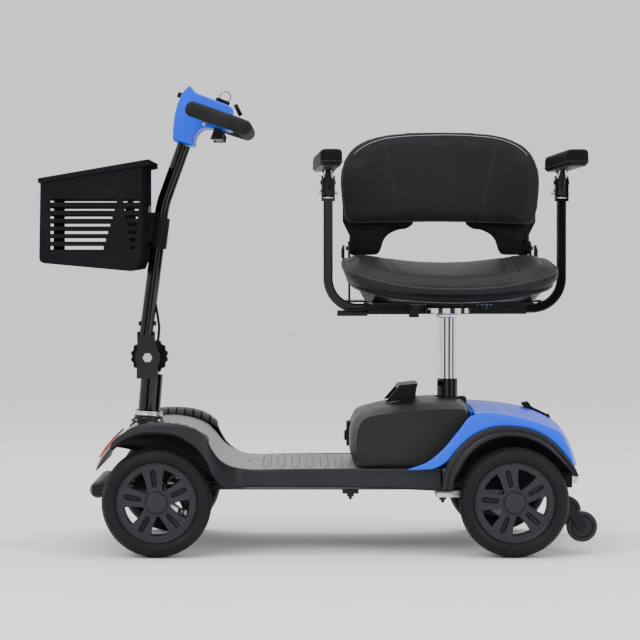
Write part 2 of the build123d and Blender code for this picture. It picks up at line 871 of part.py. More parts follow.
tube_direction = (tiller_bend - tiller_start).normalized()
with BuildPart() as tiller_foot:
    add(cross_rod(fold_x, fold_z, -socket_half, socket_half, ear_radius - 2))
    add(
        slab([(-340, 352), (-301, 352), (-309, 396), (-342, 396)], -socket_half, socket_half)
    )
    add(
        rod(tiller_start, tiller_start + tube_direction * 40, tiller_tube_radius),
        mode=Mode.SUBTRACT,
    )
    add(cross_rod(fold_x, fold_z, -30, 30, 6 + running_gap), mode=Mode.SUBTRACT)

with BuildPart() as tiller_bolts:
    for height in (14, 34):
        middle = tiller_start + tube_direction * height
        for end in (-1, 1):
            near = middle + Vector(end * 12, 0, 0)
            far = middle + Vector(end * 17, 0, 0)
            add(rod(near, far, 4.5))
    add(rod(tiller_start, tiller_bend, tiller_tube_radius), mode=Mode.SUBTRACT)
    add(tiller_foot.part, mode=Mode.SUBTRACT)

with BuildPart() as fold_foot:
    add(tiller_foot.part)
    add(tiller_bolts.part)
fold_foot.part.label = "tiller_foot"
export_step(fold_foot.part, "parts/tiller_foot.step")

head_outline = [
    (-240.3, 866), (-229.4, 852.7), (-162.3, 826), (-160.5, 815.7), (-160, 780), (-196.2, 783.7),
    (-210.5, 786.2), (-220.3, 782.6), (-227.6, 772.9), (-231.3, 763.3), (-232.8, 750.6),
    (-271.8, 762.7), (-271, 792.2), (-267.4, 815.2), (-261.4, 835.6), (-250.6, 856.3),
]
head_middle_x = -222.0
head_middle_z = 812.0
head_side_scale = 0.86
head_edge = [
    (
        head_middle_x + (x - head_middle_x) * head_side_scale,
        head_middle_z + (z - head_middle_z) * head_side_scale,
    )
    for x, z in head_outline
]
head_body = crowned_hull(head_outline, head_edge, 44, 57)
with BuildPart() as head_casing:
    add(head_body)
    add(block(-245, -176, -38, 38, 794, 822), mode=Mode.SUBTRACT)
    add(rod((-164, 0, 815.5), (-155.2, 0, 819.7), 8))
    add(block(-175, -162, -30, 30, 783, 812))

with BuildPart() as control_board:
    add(block(-240, -180, -34, 34, 796, 798))
    for x in (-230, -212, -194):
        add(block(x, x + 10, -20, 20, 798, 806))
    for x in (-232, -186):
        add(block(x, x + 4, -4, 4, 794, 796))
control_board.part.label = "control_board"
export_step(control_board.part, "parts/control_board.step")

foam_radius = 14.5
grip_y = 150.0
bar_cross_x = -135.5
bar_cross_z = 783.0
grip_front_x = -228.5
grip_front_z = 815.0


bar_route = [
    (grip_front_x, -grip_y, grip_front_z), (bar_cross_x, -grip_y, bar_cross_z),
    (bar_cross_x, grip_y, bar_cross_z), (grip_front_x, grip_y, grip_front_z),
]


def bar_sweep(radius):
    """A round bar that follows the handlebar's U."""
    with BuildPart() as bar:
        with BuildLine():
            FilletPolyline(*bar_route, radius=38)
        direction = Vector(*bar_route[1]) - Vector(*bar_route[0])
        with BuildSketch(Plane(origin=bar_route[0], z_dir=direction)):
            Circle(radius)
        sweep()
    return bar.part


foam_solid = bar_sweep(foam_radius)
with BuildPart() as handlebar:
    add(foam_solid)
handlebar.part.label = "handlebar"
export_step(handlebar.part, "parts/handlebar.step")

with BuildPart() as handlebar_mount:
    add(slab([(-160, 781), (-160, 811), (-148, 806), (-130, 796), (-130, 774), (-140, 772)], -30, 30))
    add(foam_solid, mode=Mode.SUBTRACT)
    add(head_casing.part, mode=Mode.SUBTRACT)

with BuildPart() as speed_dial:
    with BuildSketch(Plane(origin=(-154.3, 0, 819.8), z_dir=(0.894, 0, 0.447))):
        Circle(12)
        with PolarLocations(13.2, 12):
            Circle(1.8, mode=Mode.SUBTRACT)
    extrude(amount=8)
speed_dial.part.label = "speed_dial"
export_step(speed_dial.part, "parts/speed_dial.step")

top_slope = atan2(26.7, 67.1)
key_axis = Vector(sin(top_slope), 0, cos(top_slope))
key_seat = Vector(-186, 0, 835.5) + key_axis * 0.4
with BuildPart() as key_switch:
    with BuildSketch(Plane(origin=key_seat - key_axis * 3, z_dir=key_axis)):
        Circle(9)
    extrude(amount=6)
    add(head_casing.part, mode=Mode.SUBTRACT)

with BuildPart() as key:
    with BuildSketch(Plane(origin=key_seat + key_axis * 3.3, x_dir=(0, 1, 0), z_dir=key_axis)):
        Rectangle(11, 8)
    extrude(amount=5)
    with BuildSketch(Plane(origin=key_seat + key_axis * 8.3, x_dir=(0, 1, 0), z_dir=key_axis)):
        RectangleRounded(22, 4, 1.9)
    extrude(amount=13)
key.part.label = "key"
export_step(key.part, "parts/key.step")

with BuildPart() as front_cap:
    add(rod((-254, 0, 845), (-264, 0, 851), 5.5))
    add(head_casing.part, mode=Mode.SUBTRACT)

with BuildPart() as tiller_head:
    add(head_casing.part)
    add(handlebar_mount.part)
    add(key_switch.part)
    add(front_cap.part)
tiller_head.part.label = "tiller_head"
export_step(tiller_head.part, "parts/tiller_head.step")

throttle_x = -187.0
with BuildPart() as throttle_lever:
    with BuildSketch(level_plane(764)):
        with Locations((throttle_x, 0)):
            Rectangle(14, 140)
            Circle(11)
    extrude(amount=10)
    with BuildSketch(level_plane(770)):
        with Locations((throttle_x, 0)):
            Circle(5)
    extrude(amount=11.5)
    for side in sides.values():
        low, high = sorted((side * 63, side * 93))
        add(slab([(-200, 763), (-177, 763), (-175, 773), (-180, 783), (-192, 784)], low, high))
    fillet(throttle_lever.edges().group_by(Axis.Y)[-1], 2)
    fillet(throttle_lever.edges().group_by(Axis.Y)[0], 2)
throttle_lever.part.label = "throttle_lever"
export_step(throttle_lever.part, "parts/throttle_lever.step")

# The control cable is tied along the back of the tube and ends in the fold's foot.
cable_route = [
    (-307, -4, 455), (-303, -5, 432), (-300, -5, 410), (-302, -4, 389), (-307, -3, 372),
]
with BuildPart() as control_cable:
    with BuildLine():
        FilletPolyline(*cable_route, radius=25)
    cable_start = Vector(*cable_route[0])
    with BuildSketch(Plane(origin=cable_start, z_dir=Vector(*cable_route[1]) - cable_start)):
        Circle(2.5)
    sweep()
    add(tiller_foot.part, mode=Mode.SUBTRACT)
    add(tiller_tube.part, mode=Mode.SUBTRACT)
    add(tiller_bolts.part, mode=Mode.SUBTRACT)
control_cable_piece = control_cable.part.solids().sort_by(SortBy.VOLUME)[-1]
control_cable_piece.label = "control_cable"
export_step(control_cable_piece, "parts/control_cable.step")

# ---------------------------------------------------------------- basket and its clamp

basket_half = 142.0
basket_wall = 3.5
basket_outline = [
    (-510.5, 685), (-513, 542), (-511, 536), (-505, 532.6), (-345, 518), (-335, 520), (-327, 540),
    (-323.4, 572), (-323.4, 717),
]
basket_inside = [
    (-507, 700), (-509.3, 543), (-507.5, 539), (-504, 536.4), (-345, 522), (-338, 523.6),
    (-330.4, 541), (-327, 573), (-327, 730),
]
slot_rows = (648, 633, 618, 604, 590, 576, 561)
slot_height = 6.5
slot_front = -492.0

with BuildPart() as basket:
    add(slab(basket_outline, -basket_half, basket_half))
    add(
        slab(basket_inside, basket_wall - basket_half, basket_half - basket_wall),
        mode=Mode.SUBTRACT,
    )
    for row, height in enumerate(slot_rows):
        low = height - slot_height / 2
        high = height + slot_height / 2
        slot_rear = -370 - 4.1 * row
        corner_front = -358 + 2.2 * row
        corner_rear = -328.5 - 1.4 * row
        add(block(slot_front, slot_rear, -150, 150, low, high), mode=Mode.SUBTRACT)
        add(block(corner_front, corner_rear, -150, 150, low, high), mode=Mode.SUBTRACT)
        for side in sides.values():
            y_low, y_high = sorted((side * 12, side * 122))
            add(block(-520, -500, y_low, y_high, low, high), mode=Mode.SUBTRACT)

rim_outline = [(-514.7, 680.5), (-514.7, 689), (-508, 690.2), (-320, 722.6), (-311, 724), (-311, 714)]
with BuildPart() as basket_rim:
    add(slab(rim_outline, -basket_half - 4, basket_half + 4))
    add(slab(basket_outline, -basket_half, basket_half), mode=Mode.SUBTRACT)
    add(
        slab([(-507, 600), (-507, 800), (-327, 800), (-327, 600)], -138.5, 138.5),
        mode=Mode.SUBTRACT,
    )

with BuildPart() as rimmed_basket:
    add(basket.part)
    add(basket_rim.part)
rimmed_basket.part.label = "basket"
export_step(rimmed_basket.part, "parts/basket.step")

clamp_low = tiller_start + tube_direction * 178
clamp_high = tiller_start + tube_direction * 236
with BuildPart() as basket_clamp:
    add(rod(clamp_low, clamp_high, 17.5))
    add(block(-323, -300, -14, 14, 572, 628))
    add(block(-323, -318, -34, 34, 566, 640))
    add(rod(tiller_start, tiller_bend, tiller_tube_radius), mode=Mode.SUBTRACT)
basket_clamp.part.label = "basket_clamp"
export_step(basket_clamp.part, "parts/basket_clamp.step")

# ---------------------------------------------------------------- seat

# The seat faces the scooter's left, turned a little further about its post.  Its pieces
# are drawn with a sideways distance across the seat and a back distance behind the post.
turn = radians(seat_turn)
seat_side = Vector(cos(turn), sin(turn), 0)
seat_back = Vector(-sin(turn), cos(turn), 0)
post_line = Vector(post_x, 0, 0)
flange_bottom = 438.0
flange_top = 447.0
plate_bottom = 456.3
plate_top = 460.0
receiver_back = 60.0
receiver_z = 445.3
receiver_half = 156.0
arm_side = 224.0


def front_plane(back):
    """An upright plane across the seat: x runs sideways, y runs up."""
    return Plane(origin=post_line + seat_back * back, x_dir=seat_side, z_dir=-seat_back)


def flank_plane(sideways):
    """An upright plane along the seat: x runs backwards, y runs up."""
    return Plane(origin=post_line + seat_side * sideways, x_dir=seat_back, z_dir=seat_side)


def seat_level(z):
    """A level plane at a height: x runs sideways, y runs backwards."""
    return Plane(origin=post_line + Vector(0, 0, z), x_dir=seat_side, z_dir=(0, 0, 1))


def seat_block(side_low, side_high, back_low, back_high, z_low, z_high):
    """A rectangular block given by its limits in the seat's own directions."""
    with BuildPart() as piece:
        with BuildSketch(seat_level(z_low)):
            with Locations(((side_low + side_high) / 2, (back_low + back_high) / 2)):
                Rectangle(side_high - side_low, back_high - back_low)
        extrude(amount=z_high - z_low)
    return piece.part


def seat_slab(outline, side_low, side_high):
    """A flat-sided solid with a (back, height) outline, between two sideways limits."""
    with BuildPart() as piece:
        with BuildSketch(flank_plane(side_low)):
            with BuildLine():
                Polyline(outline, close=True)
            make_face()
        extrude(amount=side_high - side_low)
    return piece.part


def seat_pin(back, z, side_low, side_high, radius):
    """A round pin that lies across the seat."""
    with BuildPart() as piece:
        with BuildSketch(flank_plane(side_low)):
            with Locations((back, z)):
                Circle(radius)
        extrude(amount=side_high - side_low)
    return piece.part


with BuildPart() as seat_post:
    with BuildSketch(level_plane(185)):
        with Locations((post_x, 0)):
            Circle(post_radius)
            Circle(post_radius - 3, mode=Mode.SUBTRACT)
    extrude(amount=flange_bottom - 185)
    with BuildSketch(level_plane(flange_bottom)):
        with Locations((post_x, 0)):
            Circle(45)
    extrude(amount=flange_top - flange_bottom)
    with BuildSketch(level_plane(flange_top)):
        with Locations((post_x, 0)):
            Circle(12)
    extrude(amount=6)
seat_post.part.label = "seat_post"
export_step(seat_post.part, "parts/seat_post.step")

with BuildPart() as seat_plate:
    with BuildSketch(seat_level(plate_bottom)):
        Rectangle(300, 270)
        for side in sides.values():
            with Locations((side * 165, 126)):
                Rectangle(60, 100)
    extrude(amount=plate_top - plate_bottom)
    with BuildSketch(seat_level(flange_top + 0.3)):
        Circle(34)
    extrude(amount=plate_bottom - flange_top - 0.3)
    with BuildSketch(seat_level(flange_top)):
        Circle(12 + running_gap)
    extrude(amount=6.5, mode=Mode.SUBTRACT)
    for side in sides.values():
        low, high = sorted((side * 176, side * 180))
        add(
            seat_slab(
                [(166, plate_top), (176, plate_top), (196, 548), (196, 566), (184, 574), (170, 566),
                 (166, 540)],
                low,
                high,
            )
        )
        low, high = sorted((side * 165, side * 184))
        add(seat_pin(184, 560, low, high, 4))

with BuildPart() as seat_bolts:
    for a in (-62, 62):
        for b in (-70, 100):
            with BuildSketch(seat_level(451.3)):
                with Locations((a, b)):
                    Circle(8)
            extrude(amount=plate_bottom - 451.3)
            with BuildSketch(seat_level(447.5)):
                with Locations((a, b)):
                    RegularPolygon(7, 6)
            extrude(amount=3.8)

cushion_front = -195.0
cushion_rear = 160.0
front_under = [(195, 482), (120, 467), (0, 465), (-120, 467), (-195, 482)]
rear_under = [(195, 505), (120, 482), (0, 480), (-120, 482), (-195, 505)]
front_over = [(-202, 509), (-150, 498), (-80, 489), (0, 486), (80, 489), (150, 498), (202, 509)]
rear_over = [(-202, 545), (-150, 536), (-80, 530), (0, 528), (80, 530), (150, 536), (202, 545)]


def seat_loft(front_section, rear_section):
    """A straight loft from the seat's front edge to its rear edge."""
    with BuildPart() as piece:
        for back, section in ((cushion_front, front_section), (cushion_rear, rear_section)):
            with BuildSketch(front_plane(back)):
                with BuildLine():
                    Polyline(section, close=True)
                make_face()
        loft(ruled=True)
    return piece.part


cushion_block = seat_loft(front_over + front_under, rear_over + rear_under)
with BuildPart() as seat_cushion:
    add(cushion_block)
    fillet(seat_cushion.edges().filter_by(lambda edge: edge.length > 340).group_by(Axis.Z)[-1], 3)
seat_cushion.part.label = "seat_cushion"
export_step(seat_cushion.part, "parts/seat_cushion.step")

shell_foot = [(-150, plate_top), (150, plate_top)]
with BuildPart() as seat_shell:
    add(seat_loft(front_under + shell_foot, rear_under + shell_foot))
seat_shell.part.label = "seat_shell"
export_step(seat_shell.part, "parts/seat_shell.step")

with BuildPart() as arm_receivers:
    with BuildSketch(flank_plane(-receiver_half)):
        with Locations((receiver_back, receiver_z)):
            Rectangle(22, 22)
            Rectangle(18.4, 18.4, mode=Mode.SUBTRACT)
    extrude(amount=2 * receiver_half)

arm_top_z = 650.0
hinge_z = 686.0
arm_lip = 656.0
pad_low = 714.0
pad_high = 743.0

for side_name, side in sides.items():
    start = post_line + seat_side * (side * 62) + seat_back * receiver_back
    start += Vector(0, 0, receiver_z)
    corner = start + seat_side * (side * (arm_side - 62))
    top = corner + Vector(0, 0, arm_top_z - receiver_z)
    with BuildPart() as arm_tube:
        with BuildLine():
            FilletPolyline(start, corner, top, radius=57)
        with BuildSketch(Plane(origin=start, x_dir=seat_back, z_dir=seat_side * side)):
            RectangleRounded(18, 18, 3)
        sweep()

    centre = side * arm_side
    with BuildPart() as arm_hinge:
        add(seat_block(centre - 13, centre + 13, 49, 71, arm_top_z, arm_lip))
        for cheek in (-11, 11):
            add(
                seat_slab(
                    [(49, arm_lip), (71, arm_lip), (71, 694), (66, 699), (54, 699), (49, 694)],
                    centre + cheek - 2,
                    centre + cheek + 2,
                )
            )
        add(seat_pin(receiver_back, hinge_z, centre - 15, centre + 15, 4))

    with BuildPart() as arm:
        add(arm_tube.part)
        add(arm_hinge.part)
    arm.part.label = f"arm_{side_name}"
    export_step(arm.part, f"parts/arm_{side_name}.step")

    with BuildPart() as pad_bracket:
        add(
            seat_slab(
                [(50, 681), (56, 676), (64, 676), (70, 681), (70, 712), (50, 712)],
                centre - 8.6,
                centre + 8.6,
            )
        )
        add(seat_block(centre - 17, centre + 17, -60, 90, 710, pad_low))
        add(
            seat_pin(receiver_back, hinge_z, centre - 20, centre + 20, 4 + running_gap),
            mode=Mode.SUBTRACT,
        )

    with BuildPart() as arm_pad:
        add(seat_block(centre - 21, centre + 21, -130, 110, pad_low, pad_high))
        fillet(arm_pad.edges().filter_by(Axis.Z), 10)
        fillet(arm_pad.edges().group_by(Axis.Z)[-1], 8)
        add(pad_bracket.part)
    arm_pad.part.label = f"arm_pad_{side_name}"
    export_step(arm_pad.part, f"parts/arm_pad_{side_name}.step")

back_front = 158.0
back_rear = 190.0
with BuildPart() as backrest_brackets:
    for side in sides.values():
        wing = [(112, 598), (130, 572), (152, 566), (173, 578), (190, 612), (190, 640), (112, 640)]
        with BuildSketch(front_plane(back_rear + 4)):
            with BuildLine():
                Polyline([(side * a, z) for a, z in wing], close=True)
            make_face()
        extrude(amount=4)
        low, high = sorted((side * 170, side * 175.5))
        add(
            seat_slab(
                [(178, 554), (190, 554), (194, 560), (194, 600), (190, 604), (178, 570)], low, high
            )
        )
        low, high = sorted((side * 168, side * 178))
        add(seat_pin(184, 560, low, high, 4 + running_gap), mode=Mode.SUBTRACT)
backrest_brackets.part.label = "backrest_brackets"
export_step(backrest_brackets.part, "parts/backrest_brackets.step")

back_half_outline = [(0, 788.5), (60, 786.5), (120, 779), (160, 763), (178, 740), (194, 703), (196, 690),
                     (188, 618), (178, 607), (0, 605)]
with BuildPart() as backrest_pad:
    with BuildSketch(front_plane(back_rear)):
        with BuildLine():
            Polyline(back_half_outline + [(-a, z) for a, z in reversed(back_half_outline[1:-1])],
                     close=True)
        make_face()
    extrude(amount=back_rear - back_front)
    fillet(backrest_pad.faces().sort_by(Axis.Y)[0].edges(), 5)
backrest_pad.part.label = "backrest_pad"
export_step(backrest_pad.part, "parts/backrest_pad.step")

lever_back = -20.0
lever_height = 438.0
with BuildPart() as lever_bracket:
    for b in (lever_back - 9, lever_back + 5):
        add(seat_block(-74, -56, b, b + 4, 430, plate_bottom))
    with BuildSketch(front_plane(lever_back + 9)):
        with Locations((-65, lever_height)):
            Circle(2.5)
    extrude(amount=18)

with BuildPart() as seat_frame:
    add(seat_plate.part)
    add(seat_bolts.part)
    add(arm_receivers.part)
    add(lever_bracket.part)
seat_frame.part.label = "seat_frame"
export_step(seat_frame.part, "parts/seat_frame.step")

with BuildPart() as swivel_lever:
    with BuildSketch(front_plane(lever_back + 3)):
        with Locations((-65, lever_height)):
            Circle(6)
        with Locations((-112, lever_height)):
            Rectangle(94, 5)
    extrude(amount=6)
    with BuildSketch(flank_plane(-210)):
        with Locations((lever_back, lever_height)):
            SlotOverall(20, 11)
    extrude(amount=57)
    with BuildSketch(front_plane(lever_back + 9)):
        with Locations((-65, lever_height)):
            Circle(2.5 + running_gap)
    extrude(amount=18, mode=Mode.SUBTRACT)
swivel_lever.part.label = "swivel_lever"
export_step(swivel_lever.part, "parts/swivel_lever.step")
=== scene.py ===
import json
import math

import bmesh
import bpy
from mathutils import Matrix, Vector


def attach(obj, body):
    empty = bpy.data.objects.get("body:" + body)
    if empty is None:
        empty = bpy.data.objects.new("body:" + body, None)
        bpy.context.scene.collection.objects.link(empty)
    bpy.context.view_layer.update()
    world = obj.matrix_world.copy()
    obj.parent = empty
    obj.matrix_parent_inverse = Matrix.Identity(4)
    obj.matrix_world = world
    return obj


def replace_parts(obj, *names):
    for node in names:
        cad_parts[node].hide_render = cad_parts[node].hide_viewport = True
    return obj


# Mobility scooter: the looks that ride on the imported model.  Metres; +X is the scooter's
# rear, +Y its right side, +Z up.  Outlines are given in millimetres and scaled by MM.

MM = 0.001
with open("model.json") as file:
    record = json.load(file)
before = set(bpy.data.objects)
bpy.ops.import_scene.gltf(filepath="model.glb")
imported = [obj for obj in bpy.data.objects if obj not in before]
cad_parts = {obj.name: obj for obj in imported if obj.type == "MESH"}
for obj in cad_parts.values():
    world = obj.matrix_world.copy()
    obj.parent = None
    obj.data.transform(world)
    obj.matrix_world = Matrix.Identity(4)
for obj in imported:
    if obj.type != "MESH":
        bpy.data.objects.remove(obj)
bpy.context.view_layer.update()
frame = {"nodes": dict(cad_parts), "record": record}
nodes = frame["nodes"]
SIDES = {"left": -1, "right": 1}
X_AXIS, Z_AXIS = Vector((1, 0, 0)), Vector((0, 0, 1))


def placed(name, data):
    """A new object in the scene that holds the given data."""
    made = bpy.data.objects.new(name, data)
    bpy.context.collection.objects.link(made)
    return made


def each_side(*makers):
    """Makes the pieces of the left side, then those of the right."""
    for name, side in SIDES.items():
        for make in makers:
            make(name, side)


# ---------------------------------------------------------------- camera

camera_data = bpy.data.cameras.new("camera")
camera_data.lens = 150.1
camera_data.sensor_width = 36.0
camera_data.clip_end = 50.0
camera = placed("camera", camera_data)
camera.location = (-0.0065, -5.057, 0.5637)
camera.rotation_euler = Vector((0.00214, 1.0, -0.02758)).to_track_quat("-Z", "Y").to_euler()
bpy.context.scene.camera = camera

# ---------------------------------------------------------------- materials


class Nodes:
    """A material's node tree with short ways to add and join nodes."""

    def __init__(self, name):
        self.material = bpy.data.materials.new(name)
        self.material.use_nodes = True
        self.tree = self.material.node_tree
        self.shader = self.tree.nodes["Principled BSDF"]
        self.place = self.add("ShaderNodeTexCoord").outputs["Object"]

    def add(self, kind):
        return self.tree.nodes.new(kind)

    def link(self, source, target):
        self.tree.links.new(source, target)

    def noise(self, scale, detail=4.0):
        node = self.add("ShaderNodeTexNoise")
        node.inputs["Scale"].default_value = scale
        node.inputs["Detail"].default_value = detail
        node.inputs["Roughness"].default_value = 0.55
        self.link(self.place, node.inputs["Vector"])
        return node.outputs["Fac"]

    def cells(self, scale):
        node = self.add("ShaderNodeTexVoronoi")
        node.inputs["Scale"].default_value = scale
        self.link(self.place, node.inputs["Vector"])
        return node.outputs["Distance"]

    def ramp(self, source, stops):
        node = self.add("ShaderNodeValToRGB")
        while len(node.color_ramp.elements) < len(stops):
            node.color_ramp.elements.new(0.5)
        for element, (position, colour) in zip(node.color_ramp.elements, stops):
            element.position = position
            element.color = (*colour, 1.0)
        self.link(source, node.inputs["Fac"])
        return node.outputs["Color"]

    def spread(self, source, low, high):
        node = self.add("ShaderNodeMapRange")
        node.inputs["From Min"].default_value = 0.3
        node.inputs["From Max"].default_value = 0.7
        node.inputs["To Min"].default_value = low
        node.inputs["To Max"].default_value = high
        self.link(source, node.inputs["Value"])
        return node.outputs["Result"]

    def bump(self, source, strength, distance, below=None):
        node = self.add("ShaderNodeBump")
        node.inputs["Strength"].default_value = strength
        node.inputs["Distance"].default_value = distance
        self.link(source, node.inputs["Height"])
        if below is not None:
            self.link(below, node.inputs["Normal"])
        return node.outputs["Normal"]


looks = {}


def tinted(colour, factor):
    return tuple(min(1.0, channel * factor) for channel in colour)


def surface(name, colour, roughness, grain=900.0, grain_depth=0.15, metallic=0.0, coat=0.0,
            variation=0.12, specular=0.5, feature="noise"):
    """A moulded, painted or plated finish: drifting colour, uneven gloss and a fine grain."""
    made = Nodes(name)
    drift = made.noise(14.0)
    colours = made.ramp(
        drift, [(0.3, tinted(colour, 1 - variation)), (0.7, tinted(colour, 1 + variation))]
    )
    made.link(colours, made.shader.inputs["Base Color"])
    made.link(
        made.spread(made.noise(60.0, 5.0), roughness * 0.85, min(1.0, roughness * 1.15)),
        made.shader.inputs["Roughness"],
    )
    made.shader.inputs["Metallic"].default_value = metallic
    made.shader.inputs["Coat Weight"].default_value = coat
    made.shader.inputs["Coat Roughness"].default_value = 0.08
    made.shader.inputs["Specular IOR Level"].default_value = specular
    fine = made.cells(grain) if feature == "cells" else made.noise(grain, 2.0)
    made.link(made.bump(fine, grain_depth, 0.0004), made.shader.inputs["Normal"])
    looks[name] = made.material


def leather(name, colour, roughness):
    """Soft grained leather: pebbles, fine pores and broad creases."""
    made = Nodes(name)
    colours = made.ramp(
        made.noise(9.0), [(0.3, tinted(colour, 0.93)), (0.7, tinted(colour, 1.07))]
    )
    made.link(colours, made.shader.inputs["Base Color"])
    made.link(
        made.spread(made.noise(35.0), roughness * 0.95, roughness * 1.06),
        made.shader.inputs["Roughness"],
    )
    made.shader.inputs["Specular IOR Level"].default_value = 0.06
    creases = made.bump(made.noise(22.0, 3.0), 0.05, 0.001)
    pebbles = made.bump(made.cells(420.0), 0.22, 0.0005, creases)
    pores = made.bump(made.noise(1500.0, 2.0), 0.12, 0.0002, pebbles)
    made.link(pores, made.shader.inputs["Normal"])
    looks[name] = made.material


surface("blue_body", (0.0006, 0.075, 0.90), 0.34, 900, 0.03, coat=0.05, variation=0.03, specular=0.1)
surface("grey_cover", (0.235, 0.23, 0.222), 0.45, 1100, 0.3, metallic=0.25, variation=0.06, specular=0.3)
surface("dark_skirt", (0.0105, 0.0105, 0.0145), 0.36, 1200, 0.3, specular=0.3, feature="cells")
surface("tyre_rubber", (0.0075, 0.0075, 0.008), 0.5, 500, 0.3, specular=0.16)
surface("rim_plastic", (0.0165, 0.018, 0.0245), 0.42, 1300, 0.3, specular=0.28, feature="cells")
surface("black_paint", (0.004, 0.004, 0.0045), 0.09, 400, 0.03, specular=0.4)
surface("black_steel", (0.006, 0.006, 0.0066), 0.3, 900, 0.1, specular=0.22)
surface("zinc", (0.62, 0.61, 0.58), 0.28, 300, 0.15, metallic=1.0)
surface("chrome", (0.86, 0.86, 0.87), 0.05, 200, 0.01, metallic=1.0, variation=0.02)
surface("aluminium", (0.66, 0.66, 0.67), 0.35, 600, 0.15, metallic=1.0)
surface("cast_grey", (0.26, 0.26, 0.27), 0.55, 260, 0.5, metallic=0.7)
surface("motor_black", (0.02, 0.02, 0.02), 0.45, 500, 0.2)
surface("box_black", (0.0095, 0.009, 0.0098), 0.42, 1000, 0.4, specular=0.28, feature="cells")
surface("cell_case", (0.05, 0.05, 0.06), 0.4, 900, 0.2)
leather("seat_leather", (0.019, 0.0185, 0.0215), 0.44)
leather("pad_vinyl", (0.006, 0.006, 0.0065), 0.5)
surface("foam", (0.010, 0.010, 0.010), 0.85, 700, 0.8, feature="cells", specular=0.3)
surface("basket_black", (0.0115, 0.0112, 0.0135), 0.5, 900, 0.25, specular=0.0, feature="cells")
surface("black_plastic", (0.009, 0.009, 0.01), 0.42, 900, 0.25, specular=0.08)
surface("bumper_rubber", (0.05, 0.052, 0.058), 0.5, 700, 0.3)
surface("red_reflector", (0.65, 0.012, 0.015), 0.15, 500, 0.5, coat=0.6, feature="cells")
surface("clear_reflector", (0.62, 0.64, 0.64), 0.12, 450, 0.6, coat=0.6, feature="cells")
surface("circuit", (0.01, 0.14, 0.05), 0.4, 300, 0.4)
surface("stitching", (0.055, 0.055, 0.06), 0.7, 1500, 0.5)
surface("seam_dark", (0.006, 0.006, 0.007), 0.6, 900, 0.3)
surface("piping", (0.30, 0.30, 0.31), 0.35, 900, 0.2)
for entry in frame["record"]["subparts"]:
    node = nodes[entry["node"]]
    node.data.materials.clear()
    node.data.materials.append(looks[entry["material_slot"]])
nodes["frame_bolts"].data.materials[0] = looks["black_steel"]

# ---------------------------------------------------------------- stage

room = bpy.context.scene.world or bpy.data.worlds.new("room")
bpy.context.scene.world = room
room.use_nodes = True
room.node_tree.nodes["Background"].inputs["Color"].default_value = (1.0, 1.0, 1.0, 1.0)
room.node_tree.nodes["Background"].inputs["Strength"].default_value = 1.05


def make_floor():
    """A wide pale floor that curves up behind the scooter."""
    mesh = bmesh.new()
    reach, bend, bend_radius, height = 14.0, 9.0, 2.0, 9.0
    profile = [(-reach, 0.0), (bend, 0.0)]
    profile += [(bend + bend_radius * math.sin(a), bend_radius - bend_radius * math.cos(a))
                for a in (math.radians(9 * k) for k in range(1, 11))]
    profile.append((bend + bend_radius, height))
    rings = [[mesh.verts.new((x, y, z)) for y, z in profile] for x in (-reach, reach)]
    for k in range(len(profile) - 1):
        mesh.faces.new((rings[0][k], rings[1][k], rings[1][k + 1], rings[0][k + 1]))
    data = bpy.data.meshes.new("floor")
    mesh.to_mesh(data)
    surface("floor_paper", (0.93, 0.93, 0.93), 0.8, 200, 0.02, variation=0.01)
    data.materials.append(looks["floor_paper"])
    placed("floor", data)


def make_card(name, x, y):
    """A tall dark card beside the view that gives bright metal something to mirror."""
    half_width, bottom, top = 0.6, 0.05, 1.5
    reach = math.hypot(x, y)
    ax, ay = -y / reach * half_width, x / reach * half_width
    data = bpy.data.meshes.new(name)
    data.from_pydata([(x - ax, y - ay, bottom), (x + ax, y + ay, bottom),
                      (x + ax, y + ay, top), (x - ax, y - ay, top)], [], [(0, 1, 2, 3)])
    surface(name, (0.01, 0.01, 0.01), 0.9, 100, 0.02)
    data.materials.append(looks[name])
    card = placed(name, data)
    card.visible_camera = False
    card.visible_diffuse = False
    card.visible_shadow = False


make_floor()
make_card("dark_card_left", -1.5, -2.4)
make_card("dark_card_right", 1.3, -2.6)
make_card("dark_card_side", 3.0, -0.6)


def lamp(name, place, target, size, power):
    """A soft rectangular light that points at a place."""
    data = bpy.data.lights.new(name, "AREA")
    data.shape = "RECTANGLE"
    data.size, data.size_y = size
    data.energy = power
    light = placed(name, data)
    light.location = place
    light.rotation_euler = (Vector(target) - Vector(place)).to_track_quat("-Z", "Y").to_euler()


lamp("key_light", (-2.2, -3.2, 3.2), (0, 0, 0.4), (2.4, 2.4), 90)
lamp("fill_light", (2.8, -2.6, 1.8), (0, 0, 0.4), (1.6, 2.6), 45)
lamp("top_light", (0, 0.2, 3.6), (0, 0, 0.3), (3.0, 2.0), 70)

# ---------------------------------------------------------------- mesh helpers


def keep(name, data, look, body):
    """Links a finished mesh as a smooth piece that rides on a CAD body."""
    data.materials.append(looks[look])
    data.polygons.foreach_set("use_smooth", [True] * len(data.polygons))
    piece = placed(name, data)
    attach(piece, body)
    return piece


def mesh_of(name, points, faces):
    """A mesh from points in millimetres, with its faces turned outwards."""
    data = bpy.data.meshes.new(name)
    data.from_pydata([Vector(p) * MM for p in points], [], faces)
    mesh = bmesh.new()
    mesh.from_mesh(data)
    bmesh.ops.remove_doubles(mesh, verts=mesh.verts, dist=1e-6)
    bmesh.ops.recalc_face_normals(mesh, faces=mesh.faces)
    mesh.to_mesh(data)
    mesh.free()
    return data


